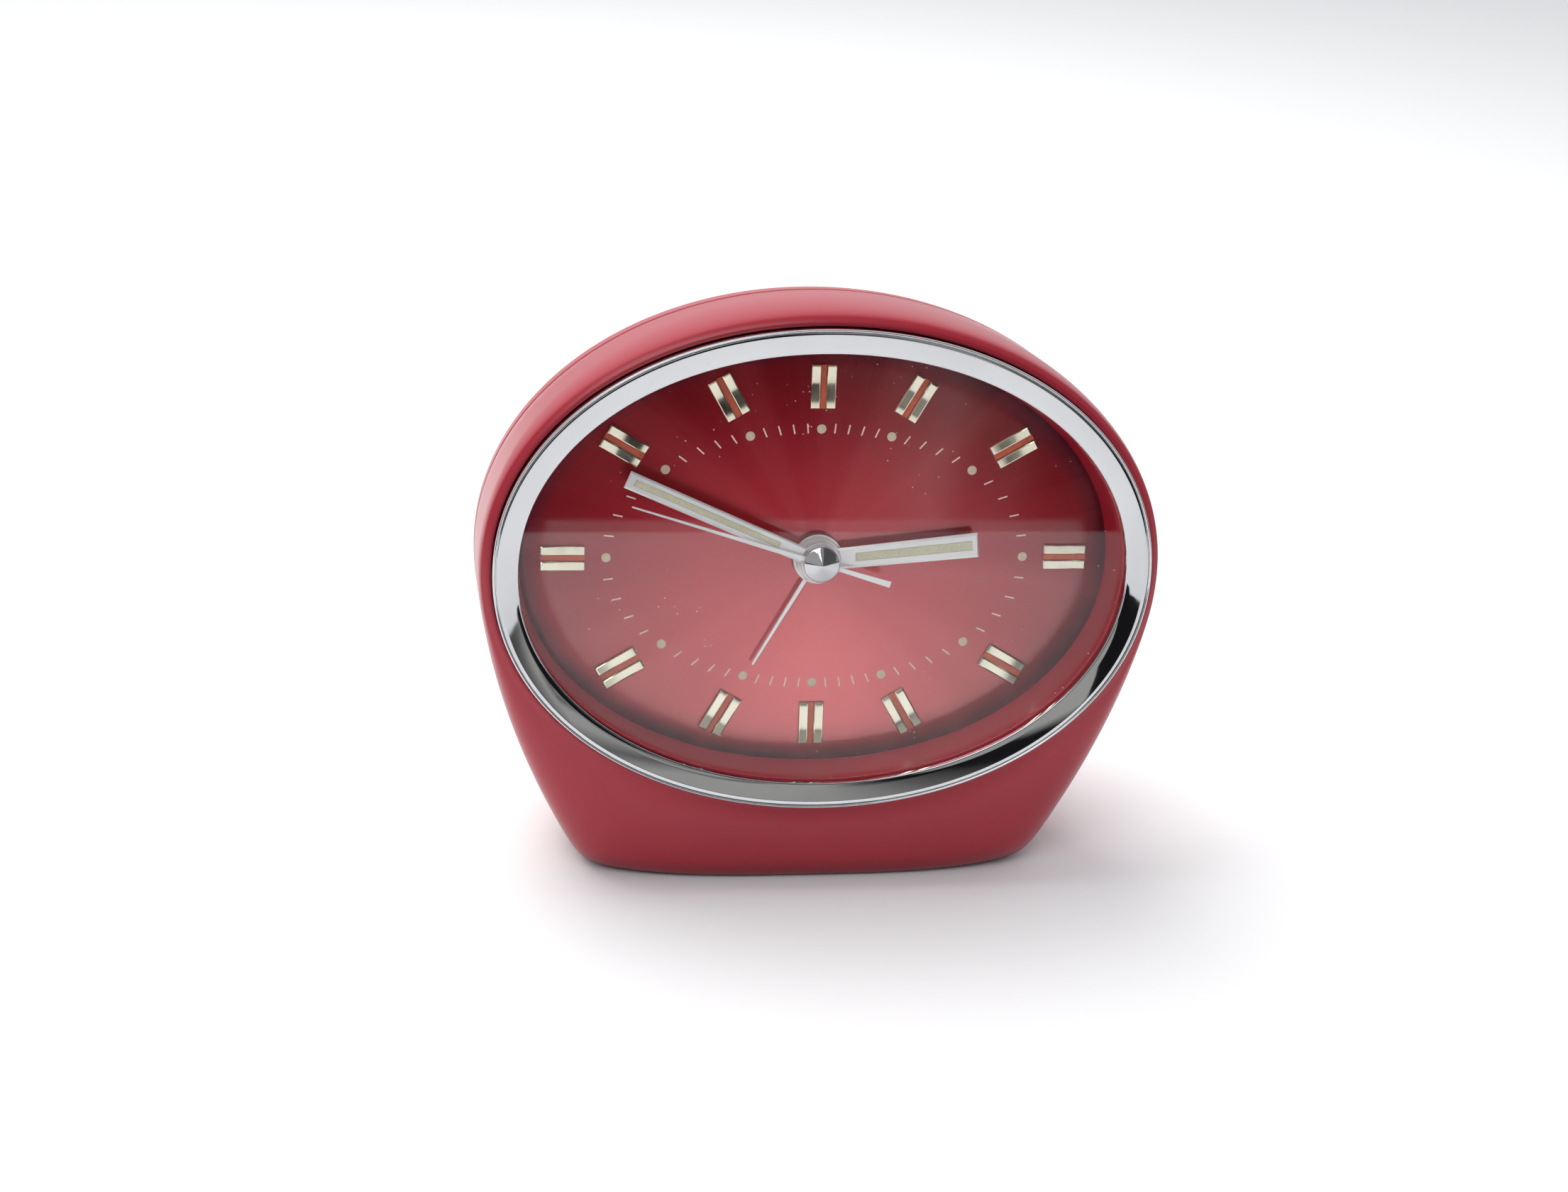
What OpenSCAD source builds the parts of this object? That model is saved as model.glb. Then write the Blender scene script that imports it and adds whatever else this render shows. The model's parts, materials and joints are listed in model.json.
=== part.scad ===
// Wind-up bedside alarm clock with an oval red plastic case.
// The clock stands on Z = 0 and its dial faces -Y. The dial leans back a little, so almost
// everything is laid out in a dial frame: x to the right, y up the dial, z towards the viewer,
// with its origin at the centre of the dial's face.

/* [Case] */
// Height of the dial's centre above the table
dial_height = 55.75; // [54:0.25:58]
// How far the dial leans back from upright, in degrees
lean = 7; // [5:0.5:9]
// Distance of the dial's centre in front of the middle of the footprint
dial_forward = 18.474; // [15:0.05:24]
// Half the width of the case
case_a = 59.25; // [58.75:0.05:60.5]
// Half height of the case above the dial's centre
case_b = 45.8; // [45:0.1:46.5]
// How far down the lower oval would reach if the foot did not cut it off
case_drop = 90.4; // [86:0.2:98]
// Wall thickness of both case halves
wall = 2.2; // [1.8:0.1:2.4]
// Depth behind the dial of the joint between the case halves
seam_z = -8.35; // [-9:0.05:-7.5]
// Depth behind the dial of the flat back
back_z = -42; // [-43:0.5:-41.5]

/* [Front ring and dial] */
// Half width of the bezel's opening
open_a = 52.5; // [52:0.1:53]
// Half height of the bezel's opening
open_b = 37.6; // [37:0.1:38]
// Width of the bezel's face
bezel_w = 4.5; // [4:0.1:4.5]
// Half width of the ring of minute dots
track_a = 36.9; // [36:0.1:38]
// Half height of the ring of minute dots
track_b = 22.8; // [22:0.1:24]
// Half width of the oval through the middles of the hour markers
marker_a = 44.45; // [43:0.05:45]
// Half height of that oval
marker_b = 30.25; // [30:0.05:32]

/* [Hands] */
// Minute hand, degrees clockwise from twelve
minute_at = 293.5; // [0:0.5:360]
// Hour hand
hour_at = 84.4; // [0:0.5:360]
// Second hand
second_at = 287; // [0:0.5:360]
// Alarm hand
alarm_at = 210; // [0:0.5:360]

/* [Wheels] */
// Teeth on the wheel that the mainspring turns
great_teeth = 72; // [72:1:72]
// Leaves on the centre pinion
centre_leaves = 10; // [10:1:10]
// Teeth on the centre wheel
centre_teeth = 64; // [64:1:64]
// Teeth on the third wheel
third_teeth = 60; // [60:1:60]
// Teeth on the fourth wheel
fourth_teeth = 64; // [64:1:64]
// Leaves on the third, fourth and escape pinions
small_leaves = 8; // [8:1:8]
// Teeth on the escape wheel
escape_teeth = 15; // [15:1:15]
// Teeth on the cannon pinion, and on both setting pinions
cannon_teeth = 12; // [12:1:12]
// Teeth on the minute wheel
minute_teeth = 36; // [36:1:36]
// Leaves on the minute wheel's pinion
minute_leaves = 10; // [10:1:10]
// Teeth on the hour wheel
hour_teeth = 40; // [40:1:40]
// Teeth on the alarm-setting wheel
alarm_teeth = 48; // [48:1:48]
// Teeth on the wheel that the alarm spring turns
ring_teeth = 52; // [52:1:52]

/* [Hidden] */

$fn = 48;
fit = 0.04;        // radial clearance of a running pivot
red = [0.60, 0.16, 0.20];
chrome = [0.86, 0.87, 0.89];
brass = [0.80, 0.66, 0.36];
steel = [0.62, 0.64, 0.67];

// ---- case outline ----
lip_a = 58.6;      // the case's front edge, an oval just outside the bezel
lip_b = 43.8;
lip_z = 9.7;
taper_z = -11.35;  // behind this the wall draws in towards the back
seat_z = 8.2;      // ledge that the bezel rests on
ledge_z = 6.2;
oval_n = 2.05;     // exponent of the bezel and lip ovals
upper_n = 2.02;    // exponents of the case's outline above and below its widest place
lower_n = 1.6;
blend_deg = 12;    // the two meet over this many degrees
foot_round = 38;   // the larger, the sharper the corners at the foot
roll_side = 3;     // how deep the front face rolls back into the wall at the sides,
roll_top = 13;     // at the top,
roll_corner = 12.3;// at the corners of the foot
roll_foot = 4.5;   // and at the middle of the foot
roll_n = 2.2;
roll_crease_n = 1.7; // over the top the roll starts with a crease
corner_x = 40.2;   // where the foot's corners are
corner_y = 55.8;
back_inset = 18;   // how much smaller the flat back is than the case's outline

function clamp01(x) = min(1, max(0, x));
function ease(x) = let (u = clamp01(x)) u * u * (3 - 2 * u);
function oval_r(t, a, b, n = oval_n) = pow(pow(abs(sin(t)) / a, n) + pow(abs(cos(t)) / b, n), -1 / n);
function oval_pt(t, a, b, n = oval_n) = oval_r(t, a, b, n) * [sin(t), cos(t)];
function foot_y(z, raise = 0) = (dial_height - raise + z * sin(lean)) / cos(lean);

// radius of the case at t degrees from the top and depth z, drawn in by off and raised off the foot
function case_r(t, z, off = 0, raise = 0) =
    let (k = ease((abs(t) - 90) / blend_deg),
         n = upper_n + (lower_n - upper_n) * k,
         b = case_b + (case_drop - case_b) * k,
         r = oval_r(t, case_a - off, b - off, n),
         over = cos(t) < 0 ? -cos(t) * r / foot_y(z, raise) : 0)
    r * pow(1 + pow(over, foot_round), -1 / foot_round);

// how far back the wall starts behind the lip
function roll_depth(t) =
    let (r = case_r(t, 0), x = abs(r * sin(t)), y = -r * cos(t))
    y <= 0 ? roll_side + (roll_top - roll_side) * pow(cos(t), 2)
           : min(roll_side + (roll_corner - roll_side) * pow(y / corner_y, 1.31),
                 roll_foot + (roll_corner - roll_foot) * pow(x / corner_x, 3.4));

// stations round the case, closer together near the foot's corners
half_turn = concat([for (t = [0:5:130]) t], [for (t = [132.5:2.5:165]) t], [for (t = [170:5:180]) t]);
stations = concat(half_turn, [for (i = [len(half_turn) - 2:-1:1]) -half_turn[i]]);

function at_z(t, r, z) = [r * sin(t), r * cos(t), z];
function oval_ring(off, z) = [for (t = stations) at_z(t, oval_r(t, open_a + off, open_b + off), z)];
function wall_ring(z, off = 0, raise = 0) = [for (t = stations) at_z(t, case_r(t, z, off, raise), z)];

// the front face's roll from the lip at p = 0 to the wall at p = 90; inside = true gives its back
function roll_ring(p, inside = false) =
    [for (t = stations)
        let (h = roll_depth(t),
             z0 = inside ? ledge_z : lip_z,
             r0 = inside ? oval_r(t, open_a + 2.7, open_b + 2.7) : oval_r(t, lip_a, lip_b),
             r1 = inside ? case_r(t, z0 - h, wall, wall) : case_r(t, z0 - h),
             e = 2 / (roll_crease_n + (roll_n - roll_crease_n) * ease((abs(t) - 60) / 60)))
        at_z(t, r0 + (r1 - r0) * pow(sin(p), e), z0 - h * (1 - pow(max(cos(p), 0), e)))];

// wall between the roll's end and the seam
function side_ring(f, inside = false) =
    [for (t = stations)
        let (z0 = (inside ? ledge_z : lip_z) - roll_depth(t),
             z = z0 + (seam_z - z0) * f)
        at_z(t, inside ? case_r(t, z, wall, wall) : case_r(t, z), z)];

function back_f(z) = max(0, taper_z - z) / (taper_z - back_z);
function back_off(z) = back_inset * pow(back_f(z), 1.6);

// ---- meshes made of rings of points ----
module closed_rings(rings) {
    n = len(rings[0]);
    m = len(rings);
    points = [for (r = rings) for (p = r) p];
    faces = [for (j = [0:m - 1]) for (i = [0:n - 1])
        let (a = j * n + i, b = j * n + (i + 1) % n,
             c = ((j + 1) % m) * n + (i + 1) % n, d = ((j + 1) % m) * n + i)
        each [[a, c, b], [a, d, c]]];
    polyhedron(points, faces, convexity = 8);
}

module dial_frame() translate([0, -dial_forward, dial_height]) rotate([90 - lean, 0, 0]) children();
module layer(z0, z1) translate([0, 0, z0]) linear_extrude(z1 - z0) children();
module rod(p, r, z0, z1) translate([p[0], p[1], z0]) cylinder(r = r, h = z1 - z0);
module oval_plate(off, z0, z1)
    layer(z0, z1) polygon([for (t = [0:5:355]) oval_pt(t, open_a + off, open_b + off)]);
function polar(r, a) = [r * cos(a), r * sin(a)];

// ---- gear teeth ----
pressure = 20;
tip_h = 0.7;       // height of a tooth above the pitch circle, in modules
root_h = 1.0;      // and its depth below
wheel_fill = 0.90; // tooth thickness as a share of half the pitch
pinion_fill = 0.80;

function involute(a) = tan(a) * 180 / PI - a;
function tooth_half(n, m, r, fill) =
    let (rp = n * m / 2, rb = rp * cos(pressure))
    90 / n * fill + involute(pressure) - (r > rb ? involute(acos(rb / r)) : 0);

module gear(n, m, at = 0, fill = wheel_fill) {
    rp = n * m / 2;
    rb = rp * cos(pressure);
    root = rp - root_h * m;
    radii = rb > root ? [root, rb, rp, rp + tip_h * m] : [root, rp, rp + tip_h * m];
    last = len(radii) - 1;
    polygon([for (k = [0:n - 1]) let (a = at + 360 * k / n)
        each concat([for (i = [0:last]) polar(radii[i], a - tooth_half(n, m, radii[i], fill))],
                    [for (i = [last:-1:0]) polar(radii[i], a + tooth_half(n, m, radii[i], fill))])]);
}

// angle of one tooth of a pinion that meshes with a wheel having a tooth at wheel_at; the pinion
// lies in direction dir from the wheel
function meshed_at(wheel_n, wheel_at, n, dir) =
    dir + 180 + 180 / n + (dir - wheel_at) * wheel_n / n;

// a wheel with a ring of round lightening holes
module crossed_wheel(n, m, holes, hole_r, ring_r, bore, from = 0) difference() {
    gear(n, m);
    for (k = [0:holes - 1]) translate(polar(ring_r, from + 360 * k / holes)) circle(r = hole_r);
    circle(r = bore);
}

// a strip wound in a spiral, of thickness t
module spiral(r0, r1, turns, t, steps = 18) {
    n = turns * steps;
    function at(i, side) = polar(r0 + (r1 - r0) * i / n + side * t / 2, 360 * i / steps);
    polygon(concat([for (i = [0:n]) at(i, -1)], [for (i = [n:-1:0]) at(i, 1)]));
}

// saw teeth for a ratchet
module saw(n, r, depth) polygon([for (k = [0:n - 1]) let (a = 360 * k / n)
    each [polar(r, a), polar(r - depth, a + 0.06 * 360 / n)]]);

// ---- where the arbors are ----
centre = [0, 0];
great_m = 0.55;
great_dist = great_m * (great_teeth + centre_leaves) / 2;
great_dir = 225;
time_p = polar(great_dist, great_dir);
third_dist = 12;
third_dir = 55;
third_p = polar(third_dist, third_dir);
centre_m = 2 * third_dist / (centre_teeth + small_leaves);
third_m = 2 * third_dist / (third_teeth + small_leaves);
fourth_m = 0.33;
escape_dist = fourth_m * (fourth_teeth + small_leaves) / 2;
escape_dir = 155;
escape_p = polar(escape_dist, escape_dir);
pallet_p = polar(escape_dist + 6.2, escape_dir);
lever_reach = 10;
balance_p = pallet_p + polar(lever_reach, escape_dir);
cannon_m = 0.4;
minute_dist = cannon_m * (cannon_teeth + minute_teeth) / 2;
minute_dir = -10;
minute_p = polar(minute_dist, minute_dir);
hour_m = 2 * minute_dist / (minute_leaves + hour_teeth);
time_set_dir = 15;
time_set_p = minute_p + polar(minute_dist, time_set_dir);
alarm_m = 0.4;
alarm_set_dir = 120;
alarm_set_p = polar(alarm_m * (alarm_teeth + cannon_teeth) / 2, alarm_set_dir);
ring_p = [18, -14];
ring_m = 0.5;
ring_dir = 45;
ring_escape_p = ring_p + polar(ring_m * (ring_teeth + small_leaves) / 2, ring_dir);
hammer_p = [31, 6.5];
bell_p = [10, 17];
stop_p = [28.5, 0.5];
pillars = [[-32, 22.8], [32, 22.8], [-35.5, -30], [35.5, -30]];
posts = [[0, -27], [-34, -3], [34.5, -7.5]];
ears = [[-20, 36.25], [20, 36.25], [-20, -36.25], [20, -36.25]];
dial_feet = [[-36, 12], [36, 12], [0, -30]];

// ---- depths of the movement's layers ----
plate_front = -6;
plate_t = 1.2;
plate_gap = 18;
front_in = plate_front - plate_t;
rear_in = front_in - plate_gap;
rear_out = rear_in - plate_t;
panel_in = back_z + wall;
escape_r = 4.5;
post_r = 2.5;
screw_hole_r = 1.4;

// ================= case =================
module front_case() color(red) dial_frame() closed_rings([
    oval_ring(bezel_w + 0.2, 10.3),
    roll_ring(0), roll_ring(18), roll_ring(36), roll_ring(54), roll_ring(72), roll_ring(90),
    side_ring(0.5), side_ring(1),
    side_ring(1, true), side_ring(0.4, true),
    roll_ring(90, true), roll_ring(60, true), roll_ring(30, true), roll_ring(0, true),
    oval_ring(2.7, seat_z),
    oval_ring(bezel_w + 0.2, seat_z)]);

module rear_shell() {
    joint_gap = 0.1;
    edge = 1.5;
    rim = back_inset + edge;
    depths = [0, 4, 8, 12.5, 17, 21.5, 26];
    inner_z = [panel_in, taper_z - 22, taper_z - 15, taper_z - 8, taper_z, seam_z - joint_gap];
    closed_rings(concat(
        [wall_ring(seam_z - joint_gap)],
        [for (d = depths) wall_ring(taper_z - d, back_off(taper_z - d))],
        [wall_ring(back_z + edge / 2, back_off(back_z + edge / 2), edge / 3)],
        [wall_ring(back_z, rim, edge), wall_ring(back_z, rim + 5, edge + 5), wall_ring(panel_in, rim + 5, edge + 5)],
        [for (z = inner_z) wall_ring(z, back_off(z) + wall + 0.2, wall)]));
    layer(back_z, panel_in) polygon([for (t = stations)
        case_r(t, back_z, rim + 3, edge + 3) * [sin(t), cos(t)]]);
}

module through_back(p, r) rod(p, r, back_z - 1, panel_in + 1);

module rear_case() color(red) dial_frame() difference() {
    rear_shell();
    through_back(time_p, 3.4);
    through_back(ring_p, 3.4);
    through_back(time_set_p, 2.2);
    through_back(alarm_set_p, 2.2);
    through_back(stop_p, 1.4);
    for (p = posts) through_back(p, screw_hole_r);
    for (p = posts) rod(p, 3.2, back_z - 1, back_z + 1.1);
    regulator_slot();
}

module bezel() color(chrome) dial_frame() closed_rings([
    oval_ring(0.15, 10.5), oval_ring(0.15, 11.5), oval_ring(0.35, 11.65), oval_ring(3.85, 12.08),
    oval_ring(3.97, 12.05), oval_ring(4.05, 12.25), oval_ring(4.25, 12.4), oval_ring(4.45, 12.25),
    oval_ring(bezel_w, 12), oval_ring(bezel_w, 8.3), oval_ring(1.4, 8.3), oval_ring(1.4, 10.5)]);

module lens() color([0.85, 0.9, 0.95, 0.3]) dial_frame() oval_plate(1.2, 9.0, 10.4);

module dial_ring() color([0.55, 0.14, 0.17]) dial_frame() difference() {
    closed_rings([
        oval_ring(-0.5, 0), oval_ring(0.1, 8.9), oval_ring(1.2, 8.9), oval_ring(1.2, 8.1),
        oval_ring(2.4, 8.1), oval_ring(2.4, plate_front),
        oval_ring(0.1, plate_front), oval_ring(0.1, 0)]);
    for (p = ears) rod(p, 0.52, plate_front - 1, plate_front + 4);
}

module dial_plate() color([0.50, 0.08, 0.11]) dial_frame() difference() {
    union() {
        oval_plate(0, -0.6, -0.02);
        for (p = dial_feet) rod(p, 0.8, plate_front, -0.5);
    }
    rod(centre, 2.9, -1, 1);
}

// ================= dial furniture =================
module round_the_dial(a, b, step, skip = 0, n = oval_n)
    for (k = [0:step:359]) if (skip == 0 || k % skip != 0)
        rotate(-k) translate([0, oval_r(k, a, b, n)]) children();

module hour_markers() color([0.88, 0.84, 0.72]) dial_frame()
    layer(0, 0.9) round_the_dial(marker_a, marker_b, 30)
        for (s = [-1, 1]) translate([s * 1.37, 0]) square([1.72, 7.75], center = true);

module marker_stripes() color([0.70, 0.27, 0.18]) dial_frame()
    layer(0, 0.35) round_the_dial(marker_a, marker_b, 30) square([0.98, 7.75], center = true);

module minute_dots() color([0.78, 0.72, 0.60]) dial_frame()
    layer(0, 0.15) round_the_dial(track_a, track_b, 30, n = 2) circle(r = 0.82, $fn = 24);

module minute_ticks() color([0.85, 0.72, 0.62]) dial_frame()
    layer(0, 0.06) round_the_dial(track_a, track_b, 6, 30, n = 2) square([0.24, 1.5], center = true);

// ================= hands =================
module hand(at, r0, length, w0, w1, hub, bore) rotate(-at) difference() {
    union() {
        polygon([[-w0 / 2, r0], [w0 / 2, r0], [w1 / 2, length], [-w1 / 2, length]]);
        circle(r = hub);
    }
    circle(r = bore);
}
module strip(at, r0, r1, w) rotate(-at) translate([-w / 2, r0]) square([w, r1 - r0]);

minute_z = 3.9;
hour_z = 2.4;
alarm_z = 1.35;
second_z = 4.95;
hand_t = 0.35;
module minute_hand() color(chrome) dial_frame()
    layer(minute_z, minute_z + hand_t) hand(minute_at, 0, 36.9, 2.8, 3.15, 3.5, 1.61);
module minute_lume() color([0.76, 0.72, 0.58]) dial_frame()
    layer(minute_z + hand_t, minute_z + hand_t + 0.1) strip(minute_at, 8, 35.4, 1.3);
module hour_hand() color(chrome) dial_frame()
    layer(hour_z, hour_z + hand_t) hand(hour_at, 0, 28.3, 3.7, 4.4, 3.9, 2.11);
module hour_lume() color([0.76, 0.72, 0.58]) dial_frame()
    layer(hour_z + hand_t, hour_z + hand_t + 0.1) strip(hour_at, 6.5, 27.2, 1.6);
module second_hand() color(chrome) dial_frame() layer(second_z, second_z + 0.2) {
    hand(second_at, 0, 35.2, 1.1, 0.35, 1.6, 0.56);
    strip(second_at + 180, 1.5, 12.3, 1);
}
module hub_cap() color(chrome) dial_frame() union() {
    rod(centre, 3.15, 5.3, 5.65);
    translate([0, 0, 5.65]) cylinder(r1 = 3.15, r2 = 0.25, h = 1.15);
}
module alarm_hand() color(chrome) dial_frame()
    layer(alarm_z, alarm_z + 0.25) hand(alarm_at, 0, 22, 0.9, 0.5, 4.4, 2.61);

// ================= frame of the movement =================
module plate_outline() {
    w = 39;
    top = 27.5;
    low = -33.5;
    corner = 8;
    polygon([for (q = [[w, top, 0], [-w, top, 90], [-w, low, 180], [w, low, 270]]) for (a = [0:15:90])
        [q[0] - sign(q[0]) * corner, q[1] - sign(q[1]) * corner] + polar(corner, q[2] + a)]);
}

module front_plate() color(brass) dial_frame() union() {
    layer(front_in, plate_front) difference() {
        union() {
            plate_outline();
            for (p = ears) translate([p[0] - 3, min(p[1], 0)]) square([6, abs(p[1])]);
            for (p = ears) translate([p[0], p[1]]) circle(r = 3);
        }
        for (p = pillars) translate(p) circle(r = 1.03);
        for (p = ears) translate(p) circle(r = 0.6);
        circle(r = 1.1 + fit);
        for (p = [third_p, escape_p, pallet_p]) translate(p) circle(r = 0.5 + fit);
        translate(balance_p) circle(r = 1.22);
        for (p = [time_p, ring_p]) translate(p) circle(r = 1.2 + fit);
        for (p = [time_set_p, alarm_set_p]) translate(p) circle(r = 0.8 + fit);
        translate(ring_escape_p) circle(r = 0.5 + fit);
        translate(hammer_p) circle(r = 0.6 + fit);
    }
    rod(minute_p, 0.7, plate_front, -2.4);
    rod(trip_p, 0.9, plate_front, -4.1);
}

module rear_plate() color(brass) dial_frame() layer(rear_out, rear_in) difference() {
    plate_outline();
    for (p = pillars) translate(p) circle(r = 1.03);
    for (p = posts) translate(p) circle(r = 1.03);
    translate(bell_p) circle(r = 1.03);
    circle(r = 0.4 + fit);
    for (p = [third_p, escape_p, pallet_p]) translate(p) circle(r = 0.5 + fit);
    translate(balance_p) circle(r = 1.22);
    for (p = [time_p, ring_p]) translate(p) circle(r = 1.5 + fit);
    for (p = [time_set_p, alarm_set_p]) translate(p) circle(r = 0.8 + fit);
    translate(ring_escape_p) circle(r = 0.5 + fit);
    translate(hammer_p) circle(r = 0.6 + fit);
}

module plate_pillars() color(steel) dial_frame() for (p = pillars) union() {
    rod(p, 2, rear_in, front_in);
    rod(p, 1, front_in, plate_front);
    rod(p, 1, rear_out - 2.2, rear_in);
}
module plate_nuts() color(steel) dial_frame() for (p = pillars) difference() {
    translate([p[0], p[1], rear_out - 1.8]) cylinder(r = 2.3, h = 1.8, $fn = 6);
    rod(p, 1.03, rear_out - 2, rear_out + 1);
}
module movement_screws() color(steel) dial_frame() for (p = ears) union() {
    rod(p, 1.4, front_in - 0.9, front_in);
    rod(p, 0.5, front_in, plate_front + 3);
}
module case_posts() color(steel) dial_frame() for (p = posts) union() {
    difference() {
        rod(p, post_r, panel_in + 0.05, rear_out);
        rod(p, 1.28, panel_in - 1, panel_in + 8);
    }
    rod(p, 1, rear_out, rear_in);
}
module case_screws() color(steel) dial_frame() for (p = posts) difference() {
    union() {
        rod(p, 2.9, back_z + 0.1, back_z + 1.1);
        rod(p, 1.25, back_z + 1.1, panel_in + 6);
    }
    translate([p[0] - 3, p[1] - 0.3, back_z]) cube([6, 0.6, 0.6]);
}

// ================= going train =================
great_z = [-9.7, -8.7];
module great_wheel() color(brass) dial_frame() union() {
    translate(time_p) layer(great_z[0], great_z[1])
        crossed_wheel(great_teeth, great_m, 5, 4, 13, 2 + fit);
    rod(time_p + click_offset, 0.7, great_z[0] - 1.9, great_z[0]);
}
module centre_arbor() color(steel) dial_frame() difference() {
    union() {
        rod(centre, 1.1, -12.8, 4.4);
        layer(-10.2, -8.2) gear(centre_leaves, great_m,
            meshed_at(great_teeth, 0, centre_leaves, great_dir - 180), pinion_fill);
    }
    rod(centre, 0.62, -13, 5);
}
module centre_wheel() color(brass) dial_frame()
    layer(-11.6, -10.9) crossed_wheel(centre_teeth, centre_m, 4, 3, 6, 1.12);
module cannon_pinion() color(steel) dial_frame() difference() {
    union() {
        rod(centre, 1.6, -3.8, minute_z + hand_t);
        layer(-5.4, -3.8) gear(cannon_teeth, cannon_m,
            meshed_at(minute_teeth, 0, cannon_teeth, minute_dir + 180), pinion_fill);
    }
    rod(centre, 1.13, -6, 6);
}
module minute_wheel() color(brass) dial_frame() translate(minute_p) difference() {
    union() {
        layer(-5.2, -4.5) gear(minute_teeth, cannon_m);
        layer(-4.5, -2.7) gear(minute_leaves, hour_m,
            meshed_at(hour_teeth, 0, minute_leaves, minute_dir), pinion_fill);
    }
    rod(centre, 0.7 + fit, -6, -2);
}
module hour_wheel() color(brass) dial_frame() difference() {
    union() {
        layer(-3.5, -2.8) gear(hour_teeth, hour_m);
        rod(centre, 2.1, -3.5, hour_z + hand_t);
    }
    rod(centre, 1.6 + fit, -4, 4);
}
// an arbor with a pinion and a wheel on it
module arbor(r, pivot) union() {
    rod(centre, r, rear_in + 0.3, front_in - 0.3);
    rod(centre, pivot, rear_out, rear_in + 0.3);
    rod(centre, pivot, front_in - 0.3, plate_front);
}
module third_wheel() color(brass) dial_frame() translate(third_p) union() {
    arbor(0.8, 0.5);
    layer(-12.1, -10.4) gear(small_leaves, centre_m,
        meshed_at(centre_teeth, 0, small_leaves, third_dir), pinion_fill);
    layer(-14.4, -13.7) crossed_wheel(third_teeth, third_m, 4, 3, 6, 0.8);
}
module fourth_wheel() color(brass) dial_frame() union() {
    rod(centre, 0.55, rear_in + 0.3, 5.3);
    rod(centre, 0.4, rear_out, rear_in + 0.3);
    layer(-15.1, -13.1) gear(small_leaves, third_m,
        meshed_at(third_teeth, 0, small_leaves, third_dir + 180), pinion_fill);
    layer(-17.6, -16.9) crossed_wheel(fourth_teeth, fourth_m, 4, 3, 6, 0.55);
}
module escape_wheel() color(brass) dial_frame() translate(escape_p) union() {
    arbor(0.6, 0.5);
    layer(-18.2, -16.3) gear(small_leaves, fourth_m,
        meshed_at(fourth_teeth, 0, small_leaves, escape_dir), pinion_fill);
    layer(-20.4, -19.8) polygon([for (k = [0:escape_teeth - 1]) let (a = 360 * k / escape_teeth)
        each [polar(escape_r, a), polar(escape_r - 0.2, a + 3), polar(3.3, a + 5), polar(3.3, a + 18)]]);
}

// ================= escapement and balance =================
// drawn with the balance straight ahead on +x from the lever's arbor
impulse_r = 1.4;
pallet_pin = [-3.2, 4.4];  // keeps both pins just outside the escape wheel's tip circle
module pallet_lever() color(steel) dial_frame() translate(pallet_p) rotate(escape_dir) union() {
    rod(centre, 0.6, rear_in + 0.3, front_in - 0.3);
    rod(centre, 0.5, rear_out, rear_in + 0.3);
    rod(centre, 0.5, front_in - 0.3, plate_front);
    layer(-21.6, -21) difference() {
        union() {
            circle(r = 1.3);
            translate([0, -0.6]) square([lever_reach - 1.6, 1.2]);
            translate([lever_reach - 2.6, -1]) square([1.8, 2]);
            for (side = [0, 1]) mirror([0, side]) {
                polygon([[-0.7, 0], [0.7, 0], pallet_pin + [0.5, 0.2], pallet_pin - [0.5, 0.2]]);
                translate(pallet_pin) circle(r = 0.6);
            }
        }
        translate([lever_reach - 1.9, -0.32]) square([3, 0.64]);
    }
    for (s = [-1, 1]) rod([pallet_pin[0], s * pallet_pin[1]], 0.25, -21.3, -19.7);
}

module balance_wheel() color(brass) dial_frame() translate(balance_p) rotate(escape_dir) union() {
    rod(centre, 0.6, -24.4, -8);
    rod(centre, 0.3, rear_out + 0.3, -24.4);
    rod(centre, 0.3, -8, plate_front - 0.3);
    layer(-16, -14.2) difference() {
        circle(r = 8.5);
        circle(r = 7.3);
    }
    layer(-15.6, -14.8) {
        translate([-7.4, -0.6]) square([14.8, 1.2]);
        circle(r = 1.5);
    }
    rod(centre, 1.9, -20.6, -20);
    rod([-impulse_r, 0], 0.22, -21.7, -20.5);
}
module hairspring() color([0.45, 0.5, 0.62]) dial_frame() translate(balance_p) union() {
    layer(-23.2, -22.6) spiral(0.8, 4.4, 6, 0.14);
    layer(-23.2, -22.6) translate([4.33, -0.07]) square([1.2, 0.14]);
    rod([5.9, 0], 0.45, rear_in, -22.4);
}
module balance_jewels() color([0.75, 0.1, 0.25]) dial_frame() for (z = [front_in, rear_out]) difference() {
    rod(balance_p, 1.2, z, z + plate_t);
    rod(balance_p, 0.3 + fit, z - 1, z + plate_t + 1);
}

// the regulator turns about the balance's axis behind the rear plate
regulator_dir = -58;
regulator_swing = 20;
regulator_reach = 10;
module regulator_lever() color(steel) dial_frame() translate(balance_p) rotate(regulator_dir) union() {
    layer(rear_out - 0.8, rear_out - 0.15) difference() {
        union() {
            circle(r = 2.6);
            translate([0, -0.8]) square([regulator_reach, 1.6]);
            translate([regulator_reach, 0]) circle(r = 1.1);
        }
        circle(r = 1.3);
    }
    rod([regulator_reach, 0], 0.8, back_z - 1.6, rear_out - 0.4);
}
module regulator_slot() {
    half = regulator_swing + 8;
    translate([balance_p[0], balance_p[1], back_z - 1]) rotate(regulator_dir - half)
        rotate_extrude(angle = 2 * half) translate([regulator_reach - 1.3, 0]) square([2.6, wall + 2]);
}

// ================= spring barrels' arbors, keys and clicks =================
spring_z = [-21.5, -12.6];
ratchet_r = 4.6;
click_offset = [-8.5, 0];
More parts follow.
